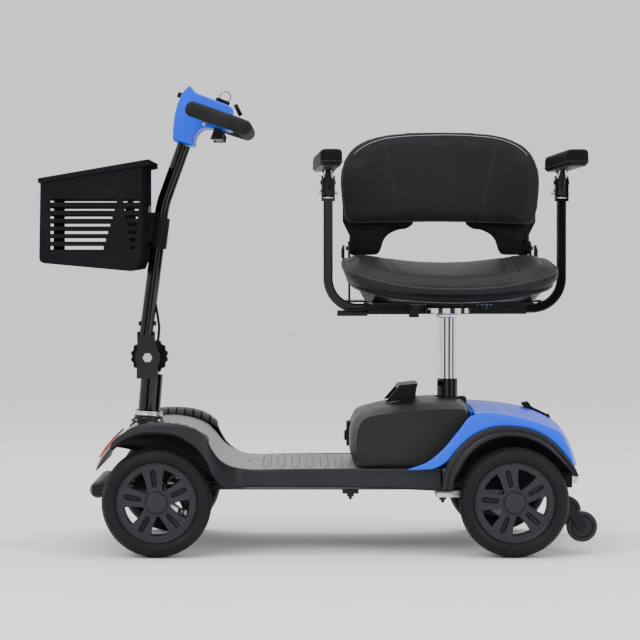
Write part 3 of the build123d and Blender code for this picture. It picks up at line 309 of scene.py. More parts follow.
def curve_through(points, steps):
    """Points along a smooth curve through the given ones, with equal steps between each two."""
    points = [Vector(p) for p in points]
    dense = []
    for k in range(len(points) - 1):
        a, b = points[k], points[k + 1]
        before = points[k - 1] if k else a * 2 - b
        after = points[k + 2] if k + 2 < len(points) else b * 2 - a
        for step in range(steps):
            t = step / steps
            dense.append(0.5 * (2 * a + (b - before) * t
                                + (2 * before - 5 * a + 4 * b - after) * t * t
                                + (3 * a - before - 3 * b + after) * t ** 3))
    dense.append(points[-1])
    return dense


def smooth_line(points, count):
    """count points evenly spaced along a smooth curve through the given points."""
    dense = curve_through(points, 24)
    lengths = [0.0]
    for a, b in zip(dense, dense[1:]):
        lengths.append(lengths[-1] + (b - a).length)
    result, k = [], 0
    for n in range(count):
        target = lengths[-1] * n / (count - 1)
        while k < len(dense) - 2 and lengths[k + 1] < target:
            k += 1
        gap = lengths[k + 1] - lengths[k] or 1.0
        result.append(dense[k].lerp(dense[k + 1], (target - lengths[k]) / gap))
    return result


def in_space(points):
    """2-D points as points of a plane in space."""
    return [(u, v, 0) for u, v in points]


def line_2d(points, count):
    """The same as smooth_line for 2-D points."""
    return [(p.x, p.y) for p in smooth_line(in_space(points), count)]


def curve_2d(points, steps):
    """The same as curve_through for 2-D points."""
    return [(p.x, p.y) for p in curve_through(in_space(points), steps)]


def outline_loop(points, count):
    """A smooth closed outline through 2-D points."""
    return line_2d(points + points[:1], count + 1)[:-1]


def rounded_box(u_range, v_range, corner):
    """The outline of a rectangle with round corners."""
    (u_low, u_high), (v_low, v_high) = u_range, v_range
    outline = []
    for u, v, start in ((u_high - corner, v_high - corner, 0), (u_low + corner, v_high - corner, 90),
                        (u_low + corner, v_low + corner, 180), (u_high - corner, v_low + corner, 270)):
        for step in range(7):
            angle = math.radians(start + 15 * step)
            outline.append((u + corner * math.cos(angle), v + corner * math.sin(angle)))
    return outline


def grid_faces(rows, columns, around=False, first=0):
    """Quads between rows of equal length; around joins each row's end to its start."""
    faces = []
    for r in range(rows - 1):
        for c in range(columns if around else columns - 1):
            d = (c + 1) % columns
            faces.append((first + r * columns + c, first + r * columns + d,
                          first + (r + 1) * columns + d, first + (r + 1) * columns + c))
    return faces


def ring_faces(rows, columns):
    """Quads between rows of equal length, whose last row joins the first."""
    last = (rows - 1) * columns
    closing = [(last + c, last + c + 1, c + 1, c) for c in range(columns - 1)]
    return grid_faces(rows, columns) + closing


def piece_of(name, rows, faces, look, body):
    return keep(name, mesh_of(name, [p for row in rows for p in row], faces), look, body)


def thicken(piece, wall, offset=-1.0):
    """Gives a thin surface a wall of a thickness in millimetres."""
    thick = piece.modifiers.new("wall", "SOLIDIFY")
    thick.thickness = wall * MM
    thick.offset = offset


def skin(name, rows, look, body, wall=0.0, around=False, ends=False, subdivide=0):
    """A surface through rows of points, with a wall thickness or closed ends."""
    columns = len(rows[0])
    faces = grid_faces(len(rows), columns, around)
    if ends:
        faces.append(tuple(range(columns)))
        faces.append(tuple(range((len(rows) - 1) * columns, len(rows) * columns)))
    piece = piece_of(name, rows, faces, look, body)
    if wall:
        thicken(piece, wall)
    if subdivide:
        finer = piece.modifiers.new("round", "SUBSURF")
        finer.levels = finer.render_levels = subdivide
    return piece


def solid(name, rows, look, body, subdivide=0):
    """A closed piece: each row is a ring, and the first and last rings are filled."""
    return skin(name, rows, look, body, around=True, ends=True, subdivide=subdivide)


def turned(name, profile, centre, axis, look, body, steps=96):
    """A turned piece from (radius, height) points about an axis through centre."""
    axis = Vector(axis).normalized()
    across = axis.orthogonal().normalized() if abs(axis.y) < 0.9 else X_AXIS
    up = axis.cross(across)
    rows = []
    for k in range(steps):
        angle = math.radians(360.0 * k / steps)
        outward = across * math.cos(angle) + up * math.sin(angle)
        rows.append([Vector(centre) + outward * r + axis * h for r, h in profile])
    return piece_of(name, rows, ring_faces(steps, len(profile)), look, body)


def tube(name, route, radius, look, body, sides=14, count=None, curve=True):
    """A round piece along a route of points, closed at both ends."""
    line = smooth_line(route, count or 8 * len(route)) if curve else [Vector(p) for p in route]
    rows = []
    normal = (line[1] - line[0]).orthogonal().normalized()
    for k, point in enumerate(line):
        ahead = (line[min(k + 1, len(line) - 1)] - line[max(k - 1, 0)]).normalized()
        normal = (normal - ahead * normal.dot(ahead)).normalized()
        binormal = ahead.cross(normal)
        ring = []
        for s in range(sides):
            angle = 2 * math.pi * s / sides
            ring.append(point + (normal * math.cos(angle) + binormal * math.sin(angle)) * radius)
        rows.append(ring)
    return solid(name, rows, look, body)


def bolt(name, place, axis, radius, height, look, body, socket=True):
    """A domed hexagon-socket screw head that stands on a surface."""
    profile = [(0.0, height * 0.45 if socket else height), (radius * 0.45, height * 0.45)]
    if socket:
        profile.append((radius * 0.5, height))
    profile += [(radius * 0.8, height), (radius * 0.97, height * 0.75), (radius, height * 0.4),
                (radius, 0.0)]
    return turned(name, profile, place, axis, look, body, steps=24)


def pillow(name, outline, place, half, look, body):
    """A crowned closed form: place(u, v, w) puts an outline point at height w in space."""
    rings = [(1.0, 0.0), (0.992, 0.3), (0.972, 0.55), (0.93, 0.76), (0.86, 0.89), (0.74, 0.96),
             (0.55, 0.99), (0.3, 1.0)]
    mid_u = sum(u for u, _ in outline) / len(outline)
    mid_v = sum(v for _, v in outline) / len(outline)
    points, faces = [], []
    for direction in (-1, 1):
        first = len(points)
        for scale, height in rings:
            for u, v in outline:
                points.append(place(mid_u + (u - mid_u) * scale, mid_v + (v - mid_v) * scale,
                                    direction * half * height))
        faces += grid_faces(len(rings), len(outline), True, first)
        points.append(place(mid_u, mid_v, direction * half))
        last = first + (len(rings) - 1) * len(outline)
        for k in range(len(outline)):
            faces.append((last + k, last + (k + 1) % len(outline), len(points) - 1))
    return keep(name, mesh_of(name, points, faces), look, body)


# ---------------------------------------------------------------- soft pieces


def puff(piece):
    """Inflates a closed pad like stuffed fabric, by a short cloth simulation."""
    voxel, pressure, cap = 5.0, 3.0, 5.0
    scene = bpy.context.scene
    bpy.ops.object.select_all(action="DESELECT")
    piece.select_set(True)
    bpy.context.view_layer.objects.active = piece
    full = [v.co.copy() for v in piece.data.vertices]
    remesh = piece.modifiers.new("even", "REMESH")
    remesh.mode = "VOXEL"
    remesh.voxel_size = voxel * MM
    bpy.ops.object.modifier_apply(modifier="even")
    start = [v.co.copy() for v in piece.data.vertices]
    low = [min(v[k] for v in full) for k in range(3)]
    high = [max(v[k] for v in full) for k in range(3)]
    cloth = piece.modifiers.new("stuffing", "CLOTH")
    cloth.settings.use_pressure = True
    cloth.settings.uniform_pressure_force = pressure
    cloth.settings.tension_stiffness = cloth.settings.compression_stiffness = 20
    cloth.settings.effector_weights.gravity = 0.0
    cloth.point_cache.frame_start, cloth.point_cache.frame_end = 1, 20
    for step in range(1, 21):
        scene.frame_set(step)
    shaped = piece.evaluated_get(bpy.context.evaluated_depsgraph_get()).data
    moved = [v.co.copy() for v in shaped.vertices]
    piece.modifiers.remove(cloth)
    scene.frame_set(1)
    for vertex, before, after in zip(piece.data.vertices, start, moved):
        shift = after - before
        if shift.length > cap * MM:
            shift *= cap * MM / shift.length
        vertex.co = before + shift
    smooth = piece.modifiers.new("settle", "SMOOTH")
    smooth.factor, smooth.iterations = 0.5, 4
    bpy.ops.object.modifier_apply(modifier="settle")
    soft = [v.co for v in piece.data.vertices]
    for k in range(3):
        least, most = min(v[k] for v in soft), max(v[k] for v in soft)
        for vertex in piece.data.vertices:
            t = (vertex.co[k] - least) / (most - least)
            vertex.co[k] = low[k] + (high[k] - low[k]) * t
    finer = piece.modifiers.new("finer", "SUBSURF")
    finer.levels = finer.render_levels = 1
    bpy.ops.object.modifier_apply(modifier="finer")
    piece.data.polygons.foreach_set("use_smooth", [True] * len(piece.data.polygons))


def sew(piece, gap, depth, width):
    """Pulls the surface in along a seam; gap(point) is a point's distance from it in mm."""
    normals = [v.normal.copy() for v in piece.data.vertices]
    for vertex, normal in zip(piece.data.vertices, normals):
        pull = depth * math.exp(-((gap(vertex.co / MM) / width) ** 2))
        if pull > 0.01:
            vertex.co -= normal * pull * MM


def settle_on(piece, points, direction, lift):
    """Drops points onto a piece along a direction and lifts them a little off it."""
    direction = Vector(direction).normalized()
    settled = []
    for point in points:
        start = (Vector(point) - direction * 120) * MM
        hit, place, normal, _ = piece.ray_cast(start, direction)
        if hit:
            settled.append(place / MM + normal * lift)
    return settled


def hug(piece, points, lift=0.0):
    """Moves points onto the nearest place of a piece's surface."""
    near = []
    for point in points:
        _, place, normal, _ = piece.closest_point_on_mesh(Vector(point) * MM)
        near.append(place / MM + normal * lift)
    return [(near[k - 1] + near[k] * 2 + near[(k + 1) % len(near)]) / 4 for k in range(len(near))]


def stitches(name, line, body):
    """A row of short threads along a line of points."""
    length, gap, radius = 4.2, 2.4, 0.45
    points, faces = [], []
    total = sum((b - a).length for a, b in zip(line, line[1:]))
    fine = smooth_line(line, max(8, int(total / (length + gap)) * 2))
    for a, b in zip(fine[0::2], fine[1::2]):
        ahead = (b - a).normalized()
        side = ahead.orthogonal().normalized()
        other = ahead.cross(side)
        first = len(points)
        for place, size in ((a, 0.35), (a.lerp(b, 0.3), 1.0), (a.lerp(b, 0.7), 1.0), (b, 0.35)):
            for k in range(6):
                turn = math.pi * k / 3
                points.append(place + (side * math.cos(turn) + other * math.sin(turn)) * radius * size)
        faces += grid_faces(4, 6, True, first)
        faces.append(tuple(range(first, first + 6)))
        faces.append(tuple(range(first + 18, first + 24)))
    return keep(name, mesh_of(name, points, faces), "stitching", body)


# The seat's own directions: sideways, back and up from the post.
POST = Vector((245.7, 0.0, 0.0))
SEAT_TURN = math.radians(2.0)
SEAT_SIDE = Vector((math.cos(SEAT_TURN), math.sin(SEAT_TURN), 0.0))
SEAT_BACK = Vector((-math.sin(SEAT_TURN), math.cos(SEAT_TURN), 0.0))


def seat_point(side, back, z):
    """A place given in the seat's own directions."""
    return POST + SEAT_SIDE * side + SEAT_BACK * back + Vector((0, 0, z))


def seat_side_of(point):
    return (Vector(point) - POST).dot(SEAT_SIDE)


def seat_back_of(point):
    return (Vector(point) - POST).dot(SEAT_BACK)


CUSHION_HALF = 200.0
CUSHION_REACH = 176.0
CUSHION_MIDDLE = -17.0
ARM_SIDE = 224.0
FAR_OFF = 99.0


def cushion_piping(side, back):
    """Height of the cushion's welt: it climbs to the rear and to both sides."""
    rear = (back - CUSHION_MIDDLE + CUSHION_REACH) / (2 * CUSHION_REACH)
    bowl = (side / CUSHION_HALF) ** 2
    return (484 + 32 * bowl) * (1 - rear) + (519 + 34 * bowl) * rear


def cushion_under(side, back):
    """Height of the cushion's underside."""
    rear = (back - CUSHION_MIDDLE + CUSHION_REACH) / (2 * CUSHION_REACH)
    bowl = (side / CUSHION_HALF) ** 2
    return (465 + 24 * bowl) * (1 - rear) + (480 + 32 * bowl) * rear


def cushion_rim(angle):
    """Plan of the cushion: a rectangle with full round corners and a bowed front."""
    c, s = math.cos(angle), math.sin(angle)
    power = 2 / 4.6
    side = CUSHION_HALF * math.copysign(abs(c) ** power, c)
    back = CUSHION_REACH * math.copysign(abs(s) ** power, s)
    return side, back


def cushion_ring(scale, height, steps=120):
    """A ring in the cushion's plan; height(side, back) says how high each point is."""
    ring = []
    for k in range(steps):
        side, back = cushion_rim(2 * math.pi * k / steps)
        side, back = side * scale, CUSHION_MIDDLE + back * scale
        ring.append(seat_point(side, back, height(side, back)))
    return ring


def seam_spread(back):
    """The cushion's seams spread a little from the middle towards the rear."""
    return 1 - 0.0004 * (back - CUSHION_MIDDLE)


def cushion_seam_gap(point, seam):
    """How far a point of the cushion's top is from a seam."""
    side, back = seat_side_of(point), seat_back_of(point)
    if point.z <= cushion_piping(side, back):
        return FAR_OFF
    return side * seam_spread(back) - seam


def make_cushion():
    """The stuffed seat cushion with its welt, two double seams and a front seam."""
    over = [(0.06, 1.0), (0.25, 1.0), (0.45, 1.0), (0.62, 0.99), (0.76, 0.93), (0.87, 0.78),
            (0.94, 0.52), (0.98, 0.24), (1.0, 0.0)]
    under = [(0.998, 0.2), (0.985, 0.5), (0.955, 0.8), (0.90, 0.96), (0.7, 1.0), (0.4, 1.0),
             (0.08, 1.0)]
    rows = [cushion_ring(scale, lambda a, b: cushion_piping(a, b) + 15 * rise)
            for scale, rise in over]
    rows += [cushion_ring(scale, lambda a, b: cushion_piping(a, b)
                          + (cushion_under(a, b) - cushion_piping(a, b)) * fall)
             for scale, fall in under]
    cushion = solid("cushion_cover", rows, "seat_leather", "seat")
    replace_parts(cushion, "seat_cushion")
    puff(cushion)
    seams = (-112, -103, 111, 121)
    for seam in seams:
        sew(cushion, lambda p: cushion_seam_gap(p, seam), 1.3, 2.6)
    welt = hug(cushion, cushion_ring(1.0, cushion_piping))
    tube("cushion_piping", welt + welt[:1], 2.0, "seam_dark", "seat", sides=8, curve=False)
    for k, seam in enumerate(seams):
        line = [seat_point(seam / seam_spread(b), b, 560) for b in range(-180, 146, 12)]
        stitches(f"cushion_stitch_{k}", settle_on(cushion, line, -Z_AXIS, 0.25), "seat")
    front = [seat_point(0, -230, z) for z in (468, 473, 478, 483)]
    tube("cushion_front_seam", settle_on(cushion, front, SEAT_BACK, 0.1), 0.8, "seam_dark", "seat",
         sides=6)


BACKREST_HALF = [
    (0, 787), (60, 785.5), (115, 779), (155, 764), (180, 741), (193, 708), (195, 680), (191, 640),
    (186, 615), (172, 607), (120, 606), (60, 607), (0, 608),
]
BACKREST_OUTLINE = BACKREST_HALF + [(-u, v) for u, v in BACKREST_HALF[-2:0:-1]]


def backrest_seam(z, outer):
    """Sideways place of a backrest seam at a height; it leans in towards the bottom."""
    low, high = ((80, 113), (84.5, 117))[outer]
    t = min(1.0, max(0.0, (787 - z) / 180))
    return low + (high - low) * (1 - t) ** 1.6


def backrest_place(u, v, w):
    """A place on the backrest, which wraps slightly round the sitter."""
    return seat_point(u, 178 - 5.0 * (u / 196) ** 2 + w, v)


def backrest_seam_gap(point, side, outer):
    """How far a point of the backrest's front is from a seam."""
    if seat_back_of(point) >= 174:
        return FAR_OFF
    return seat_side_of(point) - side * backrest_seam(point.z, outer)


def make_backrest():
    """The stuffed backrest with its welts and two double seams."""
    outline = outline_loop(BACKREST_OUTLINE, 120)
    pad = pillow("backrest_cover", outline, backrest_place, 14.0, "seat_leather", "backrest")
    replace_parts(pad, "backrest_pad")
    puff(pad)
    for side in (-1, 1):
        for outer in (0, 1):
            sew(pad, lambda p: backrest_seam_gap(p, side, outer), 1.4, 2.4)
            line = [seat_point(side * backrest_seam(z, outer), 120, z) for z in range(612, 785, 8)]
            stitches(f"backrest_stitch_{side + 1}{outer}", settle_on(pad, line, SEAT_BACK, 0.25),
                     "backrest")
    welt = hug(pad, [backrest_place(u * 0.995, 697 + (v - 697) * 0.995, -7.5) for u, v in outline])
    tube("backrest_piping", welt + welt[:1], 1.7, "seam_dark", "backrest", sides=8, curve=False)
    edge = [backrest_place(u * 0.972, 697 + (v - 697) * 0.965, -12.6) for u, v in outline if v > 735]
    start = max(range(len(edge)), key=lambda k: (edge[k] - edge[k - 1]).length)
    edge = hug(pad, edge[start:] + edge[:start], 0.3)[1:-1]
    tube("backrest_top_line", edge, 0.7, "piping", "backrest", sides=6, curve=False)


def arm_point(side, a, b, z):
    """A point of an arm pad: each pad toes in a little and dips to the rear."""
    toe, shift = (0.03, -4) if side < 0 else (0.065, 1)
    return seat_point(side * ARM_SIDE - (b + 20) * toe + a + shift, b, z + 1.5 - (b + 129) * 0.03)


def arm_ring(side, points, width, length, z):
    """The pad's outline, narrowed and shortened about the pad's middle."""
    return [arm_point(side, a * width, -10 + (b + 10) * length, z) for a, b in points]


def make_arm_pad(name, side):
    """A firm moulded arm pad with a seam low on its side and a tray beneath."""
    body = f"armrest_{name}"
    points = rounded_box((-20.5, 20.5), (-129.0, 109.0), 11.0)
    levels = [(0.80, 0.93, 714.5), (0.94, 0.985, 714.8), (0.99, 0.997, 717.0), (1.0, 1.0, 722.0),
              (1.0, 1.0, 731.0), (0.985, 0.995, 736.5), (0.93, 0.985, 740.2), (0.78, 0.96, 742.6),
              (0.45, 0.86, 743.4)]
    rows = [arm_ring(side, points, *level) for level in levels]
    pad = solid(f"arm_pad_cover_{name}", rows, "pad_vinyl", body, subdivide=1)
    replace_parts(pad, f"arm_pad_{name}")
    seam = arm_ring(side, points, 1.005, 1.001, 719.5)
    tube(f"arm_pad_seam_{name}", seam + seam[:1], 0.9, "seam_dark", body, sides=6, curve=False)
    tray = [arm_ring(side, points, s, s, z)
            for s, z in ((0.35, 712.4), (0.86, 712.2), (0.9, 713.2), (0.9, 715.0))]
    solid(f"arm_pad_tray_{name}", tray, "black_plastic", body)


make_cushion()
make_backrest()
each_side(make_arm_pad)

# ---------------------------------------------------------------- wheels

WHEELS = {"front": (-292.3, 100.0, 96.6), "rear": (356.1, 100.0, 102.6)}
LUGS = 84


def tread_cut(k, r, h):
    """How deep the tyre is cut at step k, radius r and distance h from its middle."""
    if 11.0 <= abs(h) <= 12.0:
        return 2.0
    phase = (k / 6 + (0.5 if h > 0 else 0.0) + 0.028 * abs(h)) % 1.0
    if r > 91 and phase < 0.34 and abs(h) > 3.0:
        return 2.6 if r > 94 else 1.5
    return 0.0


def make_tyre(name, centre, body, slot):
    """A tyre whose tread is cut into slanted lugs with a rib along the middle."""
    half = [(72.0, 15.0), (74.5, 19.5), (78.0, 22.4), (82.0, 23.8), (83.0, 24.6), (84.4, 24.6),
            (85.4, 23.9), (89.0, 23.4), (91.5, 22.6), (93.2, 21.4), (95.2, 20.0), (96.6, 18.0),
            (97.9, 15.0), (98.8, 12.0), (99.2, 11.0), (99.5, 7.0), (99.8, 3.6), (99.9, 2.6),
            (100.0, 0.0)]
    profile = half + [(r, -h) for r, h in half[-2::-1]]
    steps = LUGS * 6
    rows = []
    for k in range(steps):
        angle = 2 * math.pi * k / steps
        row = []
        for r, h in profile:
            reach = r - tread_cut(k, r, h)
            row.append(Vector((centre[0] + reach * math.cos(angle), centre[1] + h,
                               centre[2] + reach * math.sin(angle))))
        rows.append(row)
    tyre = piece_of(name, rows, ring_faces(steps, len(profile)), "tyre_rubber", body)
    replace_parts(tyre, slot)


def wedge_spoke(name, centre, outward, angle, body):
    """One broad spoke that widens outwards, with a sunk slot along its middle."""
    outer = [(23, 13.5), (40, 15.5), (58, 20.5), (64, 23), (64, 0), (64, -23), (58, -20.5),
             (40, -15.5), (23, -13.5), (19, -10), (18, 0), (19, 10)]
    slot = [(32, 4.0), (40, 4.4), (52, 4.6), (58, 3.6), (60, 0), (58, -3.6), (52, -4.6),
            (40, -4.4), (32, -4.0), (29.6, -2.8), (28.6, 0), (29.6, 2.8)]
    outer, slot = outline_loop(outer, 72), outline_loop(slot, 72)
    c, s = math.cos(math.radians(angle)), math.sin(math.radians(angle))
    middle = 45.0
    rows = []
    for loop, inset, lift in ((outer, 0.0, 2.0), (outer, 0.0, 10.6), (outer, 0.5, 11.8),
                              (outer, 1.6, 12.3), (slot, -1.4, 12.3), (slot, -0.5, 11.9),
                              (slot, 0.0, 11.0), (slot, 0.2, 4.4)):
        row = []
        for u, v in loop:
            gap = math.hypot(u - middle, v) or 1.0
            u, v = u - (u - middle) / gap * inset, v - v / gap * inset
            row.append(Vector(centre) + Vector((u * c - v * s, outward * lift, u * s + v * c)))
        rows.append(row)
    return solid(name, rows, "rim_plastic", body)


def make_rim(name, centre, outward, phase, body, slot):
    """A five-spoked rim with its hub and cap."""
    axis = (0, outward, 0)
    ring = [(59.6, -19), (59.6, 8.0), (60.4, 10.6), (62.0, 11.9), (65.0, 12.2), (68.6, 12.2),
            (70.2, 12.8), (71.0, 14.6), (72.4, 15.6), (73.6, 15.0), (73.8, 13.6), (72.6, 11.0),
            (71.9, 8.0), (71.9, -19), (66, -20.5), (59.6, -19)]
    barrel = turned(f"{name}_ring", ring, centre, axis, "rim_plastic", body, steps=144)
    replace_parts(barrel, slot)
    hub = [(0, 18.4), (4, 18.6), (14, 18.4), (17.6, 17.6), (19.2, 15.8), (19.6, 13.0), (19.8, 12.2),
           (21.0, 12.3), (24.0, 12.2), (25.6, 11.2), (26.0, 8.0), (26.0, -16), (0, -16)]
    turned(f"{name}_hub", hub, centre, axis, "rim_plastic", body, steps=64)
    turned(f"{name}_cap_line", [(19.4, 13.2), (20.4, 13.0), (20.6, 12.35)], centre, axis,
           "seam_dark", body, steps=64)
    for k in range(5):
        wedge_spoke(f"{name}_spoke_{k}", centre, outward, phase + 72 * k, body)
    for k in range(2):
        place = Vector(centre) + Vector((0, outward * 18.2, 0)) + Vector((-6 + 12 * k, 0, -8))
        turned(f"{name}_dimple_{k}", [(0, 0.5), (1.1, 0.5), (1.4, 0)], place, axis, "seam_dark", body,
               steps=12)


for end, (wheel_x, wheel_z, phase) in WHEELS.items():
    for side_name, side_sign in SIDES.items():
        middle = (wheel_x, side_sign * 230.0, wheel_z)
        wheel_body = f"wheel_{end}_{side_name}"
        make_tyre(f"tread_{end}_{side_name}", middle, wheel_body, f"tyre_{end}_{side_name}")
        make_rim(f"disc_{end}_{side_name}", middle, side_sign, phase, wheel_body,
                 f"rim_{end}_{side_name}")

# ---------------------------------------------------------------- rear body

CROWN = [(284, 262), (291, 267), (307, 269.5), (346, 266), (397, 257.5), (438, 239.5),
         (452, 229), (464, 213), (475, 188), (483, 160)]
SHOULDER = [(284, 259), (291, 263.5), (307, 265), (346, 261.5), (397, 251.5), (438, 234),
            (450, 223.5), (460, 208), (471, 185), (479, 160)]
CREASE = [(285, 257), (293, 260.5), (302, 261), (333, 258.5), (378, 249.5), (421, 235),
          (442, 224.5), (450, 210), (459, 189), (467, 163)]
BLADE_TOP = [(163, 158.5), (185, 165.5), (204, 174.5), (228, 195.5), (243, 213), (259, 233),
             (271, 249), (279, 256.5), (285, 258.5)]
ARCH_OUTER = [(163, 157.6), (190, 158), (215, 161.5), (240, 177.5), (259, 200.5), (281, 219.5),
              (311.5, 233.5), (340, 237), (377, 234), (408.5, 222), (433.5, 203.5), (452, 182),
              (466, 163)]
TRIM_OUTER = [(226.5, 121), (228, 138), (232, 157)] + ARCH_OUTER[3:] + [(474, 146)]
TRIM_INNER = [(246.5, 121), (249, 141), (258.5, 158), (274, 183), (299, 205), (327, 216),
              (352, 219), (383, 214.5), (414, 199), (439, 177), (458, 158), (466, 146)]


def both_sides(half):
    """A row of points from the middle outwards, led by its mirror image."""
    return [Vector((p.x, -p.y, p.z)) for p in half[:0:-1]] + half


def between(first, second, t):
    """The place a part t of the way between two 2-D points."""
    return first[0] * (1 - t) + second[0] * t, first[1] * (1 - t) + second[1] * t


def make_shroud():
    """The blue rear cover's crowned lid and its front wall."""
    curves = [line_2d(line, 64) for line in (CROWN, SHOULDER, CREASE)]
    columns = [(0.0, 0, 0), (45, 0, 0.12), (90, 0, 0.45), (124, 0, 0.9), (134, 0, 1), (150, 1, 0.25),
               (175, 1, 0.58), (200, 1, 0.88), (211, 1, 0.985), (215.4, 1, 1)]
    rows = []
    for k in range(64):
        half = []
        for y, curve, t in columns:
            x, z = between(curves[curve][k], curves[curve + 1][k], t)
            half.append(Vector((x, y, z)))
        rows.append(both_sides(half))
    lid = skin("rear_cover", rows, "blue_body", "chassis", wall=2.6)
    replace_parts(lid, "rear_shroud")
    inside = [p for p in rows[0] if abs(p.y) < 172]
    front = [[Vector((x, p.y, max(157.6, p.z - drop))) for p in inside]
             for x, drop in ((284.2, 0), (283.4, 2), (283.2, 40), (283.2, 96))]
    skin("rear_cover_front", front, "blue_body", "chassis", wall=2.4)


def swept(upper, lower, stations, side):
    """Rows between two curves; each station is how far down it is and how far out it stands."""
    return [[Vector((ux + (lx - ux) * t, side * out, uz + (lz - uz) * t)) for t, out in stations]
            for (ux, uz), (lx, lz) in zip(upper, lower)]


def make_blade(side_name, side):
    """A side of the rear cover, which runs forwards into a thin blade, with its dark lining."""
    upper, lower = line_2d(BLADE_TOP[:-1] + CREASE, 110), line_2d(ARCH_OUTER, 110)
    wall = swept(upper, lower, ((0, 212.8), (0, 215.2), (0.04, 216.4), (0.25, 217.2), (0.6, 217.2),
                                (0.94, 216.8), (1.0, 216.2), (1.0, 212)), side)
    skin(f"rear_cover_side_{side_name}", wall, "blue_body", "chassis")
    inner = [[Vector((p.x, side * (abs(p.y) - 3.2), p.z)) for p in ray[2:7]] for ray in wall]
    skin(f"rear_cover_lining_{side_name}", inner, "dark_skirt", "chassis")


def make_arch(side_name, side):
    """A double-ridged lip round the rear wheel, with the tub behind it."""
    outer, inner = line_2d(TRIM_OUTER, 90), line_2d(TRIM_INNER, 90)
    rows = swept(outer, inner, ((0.0, 214), (0.0, 219), (0.08, 221.4), (0.2, 222), (0.36, 221.5),
                                (0.46, 219.6), (0.56, 219.4), (0.66, 221.2), (0.8, 222.4),
                                (0.94, 222.2), (1.0, 220.6), (1.02, 216), (1.03, 190)), side)
    arch = skin(f"arch_lip_{side_name}", rows, "dark_skirt", "chassis")
    thicken(arch, 1.8, 0.0)
    if side_name == "left":
        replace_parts(arch, "arch_trims")
    tub = [[Vector((x, side * 190.5, z)), Vector((x, side * 178, z - 1)),
            Vector((x, side * 171, max(124.0, z - 12))), Vector((x, side * 170, 122.0))]
           for x, z in inner]
    skin(f"rear_tub_{side_name}", tub, "dark_skirt", "chassis", wall=2.0)


make_shroud()
each_side(make_blade)
each_side(make_arch)

# ---------------------------------------------------------------- battery

PACK_MIDDLE = [(68, 157.8), (61, 176), (58.6, 192), (59, 222), (64.5, 240), (76, 255.5), (110, 267),
               (150, 274.5), (192, 279.5), (223, 280.5), (262, 278), (276, 271), (280.4, 258),
               (280.5, 220), (280.5, 157.8)]
PACK_SHOULDER = [(69, 157.8), (62, 176), (60.6, 192), (61, 221), (66.5, 238), (78, 252), (111, 262),
                 (150, 269), (192, 273.5), (223, 274.5), (262, 272.5), (275, 267), (280, 255),
                 (280.2, 220), (280.2, 157.8)]
PACK_EDGE = [(78, 157.8), (73.6, 176), (71.4, 192), (71.5, 208), (76, 232), (84, 244.5), (97, 251),
             (130, 256.5), (165, 260), (211, 263.5), (258, 265), (273, 261), (277.5, 250),
             (278, 215), (278, 157.8)]
PACK_HALF = 163.0
PACK_BASE = 158.2


def make_battery():
    """The battery's crowned shell, with a notch at the rear where the seat post stands."""
    curves = [line_2d(line, 92) for line in (PACK_MIDDLE, PACK_SHOULDER, PACK_EDGE)]
    columns = [(0, 0.0, 0), (12, 0.0, 0), (24, 0.03, 0), (60, 0.3, 0), (95, 0.75, 0), (116, 1.0, 0),
               (122, 1.0, 0.1), (140, 1.0, 0.5), (153, 1.0, 0.82), (159, 1.0, 0.95),
               (PACK_HALF - 0.6, 1.0, 1.0)]
    rows = []
    for middle, shoulder, edge in zip(*curves):
        half = []
        for y, to_shoulder, to_edge in columns:
            x, z = between(between(middle, shoulder, to_shoulder), edge, to_edge)
            half.append(Vector((x, y, z)))
        rows.append(both_sides(half))
    top = skin("battery_shell", rows, "box_black", "battery", wall=2.2)
    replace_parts(top, "battery_case")
    mesh = bmesh.new()
    mesh.from_mesh(top.data)
    centres = [(face, face.calc_center_median()) for face in mesh.faces]
    gone = [face for face, centre in centres if centre.x > 0.2195 and abs(centre.y) < 0.0235]
    bmesh.ops.delete(mesh, geom=gone, context="FACES")
    mesh.to_mesh(top.data)
    mesh.free()
    notch = [[Vector((x, y, z)) for z in (279, 240, 159)]
             for x, y in ((281, -24), (250, -24), (221, -24), (218.5, -21), (218, 0), (218.5, 21),
                          (221, 24), (250, 24), (281, 24))]
    skin("battery_notch", notch, "box_black", "battery")
    base = [[Vector((x, y, PACK_BASE)) for y in (-156, -30, 30, 156)] for x in (72, 140, 216, 217)]
    skin("battery_base", base, "box_black", "battery")


def make_battery_side(side_name, side):
    """A side of the battery that stands slightly proud and leans in above a faint crease."""
    cheek = [[Vector((x, side * y, PACK_BASE)) for y in (25, 90, 158)] for x in (217, 250, 277)]
    skin(f"battery_base_{side_name}", cheek, "box_black", "battery")
    upper = line_2d(PACK_EDGE[:13], 84)
    lower = line_2d([(78, 157.8), (170, 157.8), (277.5, 157.8)], 84)
    wall = swept(upper, lower, ((0, -0.7), (0.0, 0.2), (0.02, 1.2), (0.06, 2.0), (0.12, 2.3),
                                (0.2, 2.4), (0.3, 2.4), (0.4, 2.4), (0.5, 2.4), (0.62, 2.4),
                                (0.74, 2.4), (0.88, 2.3), (0.97, 1.6), (1.0, 0.2)), 1)
    for ray in wall:
        for k, p in enumerate(ray):
            over = max(0.0, p.z - (216.6 + 0.2245 * (p.x - 106.9))) if k > 1 else 0.0
            p.y = side * (PACK_HALF + p.y - 0.055 * over)
    skin(f"battery_side_{side_name}", wall, "box_black", "battery")


make_battery()
each_side(make_battery_side)
bolt("battery_top_catch", (262, -36, 276.5), Z_AXIS, 4.0, 3.0, "black_plastic", "battery")

# ---------------------------------------------------------------- front body

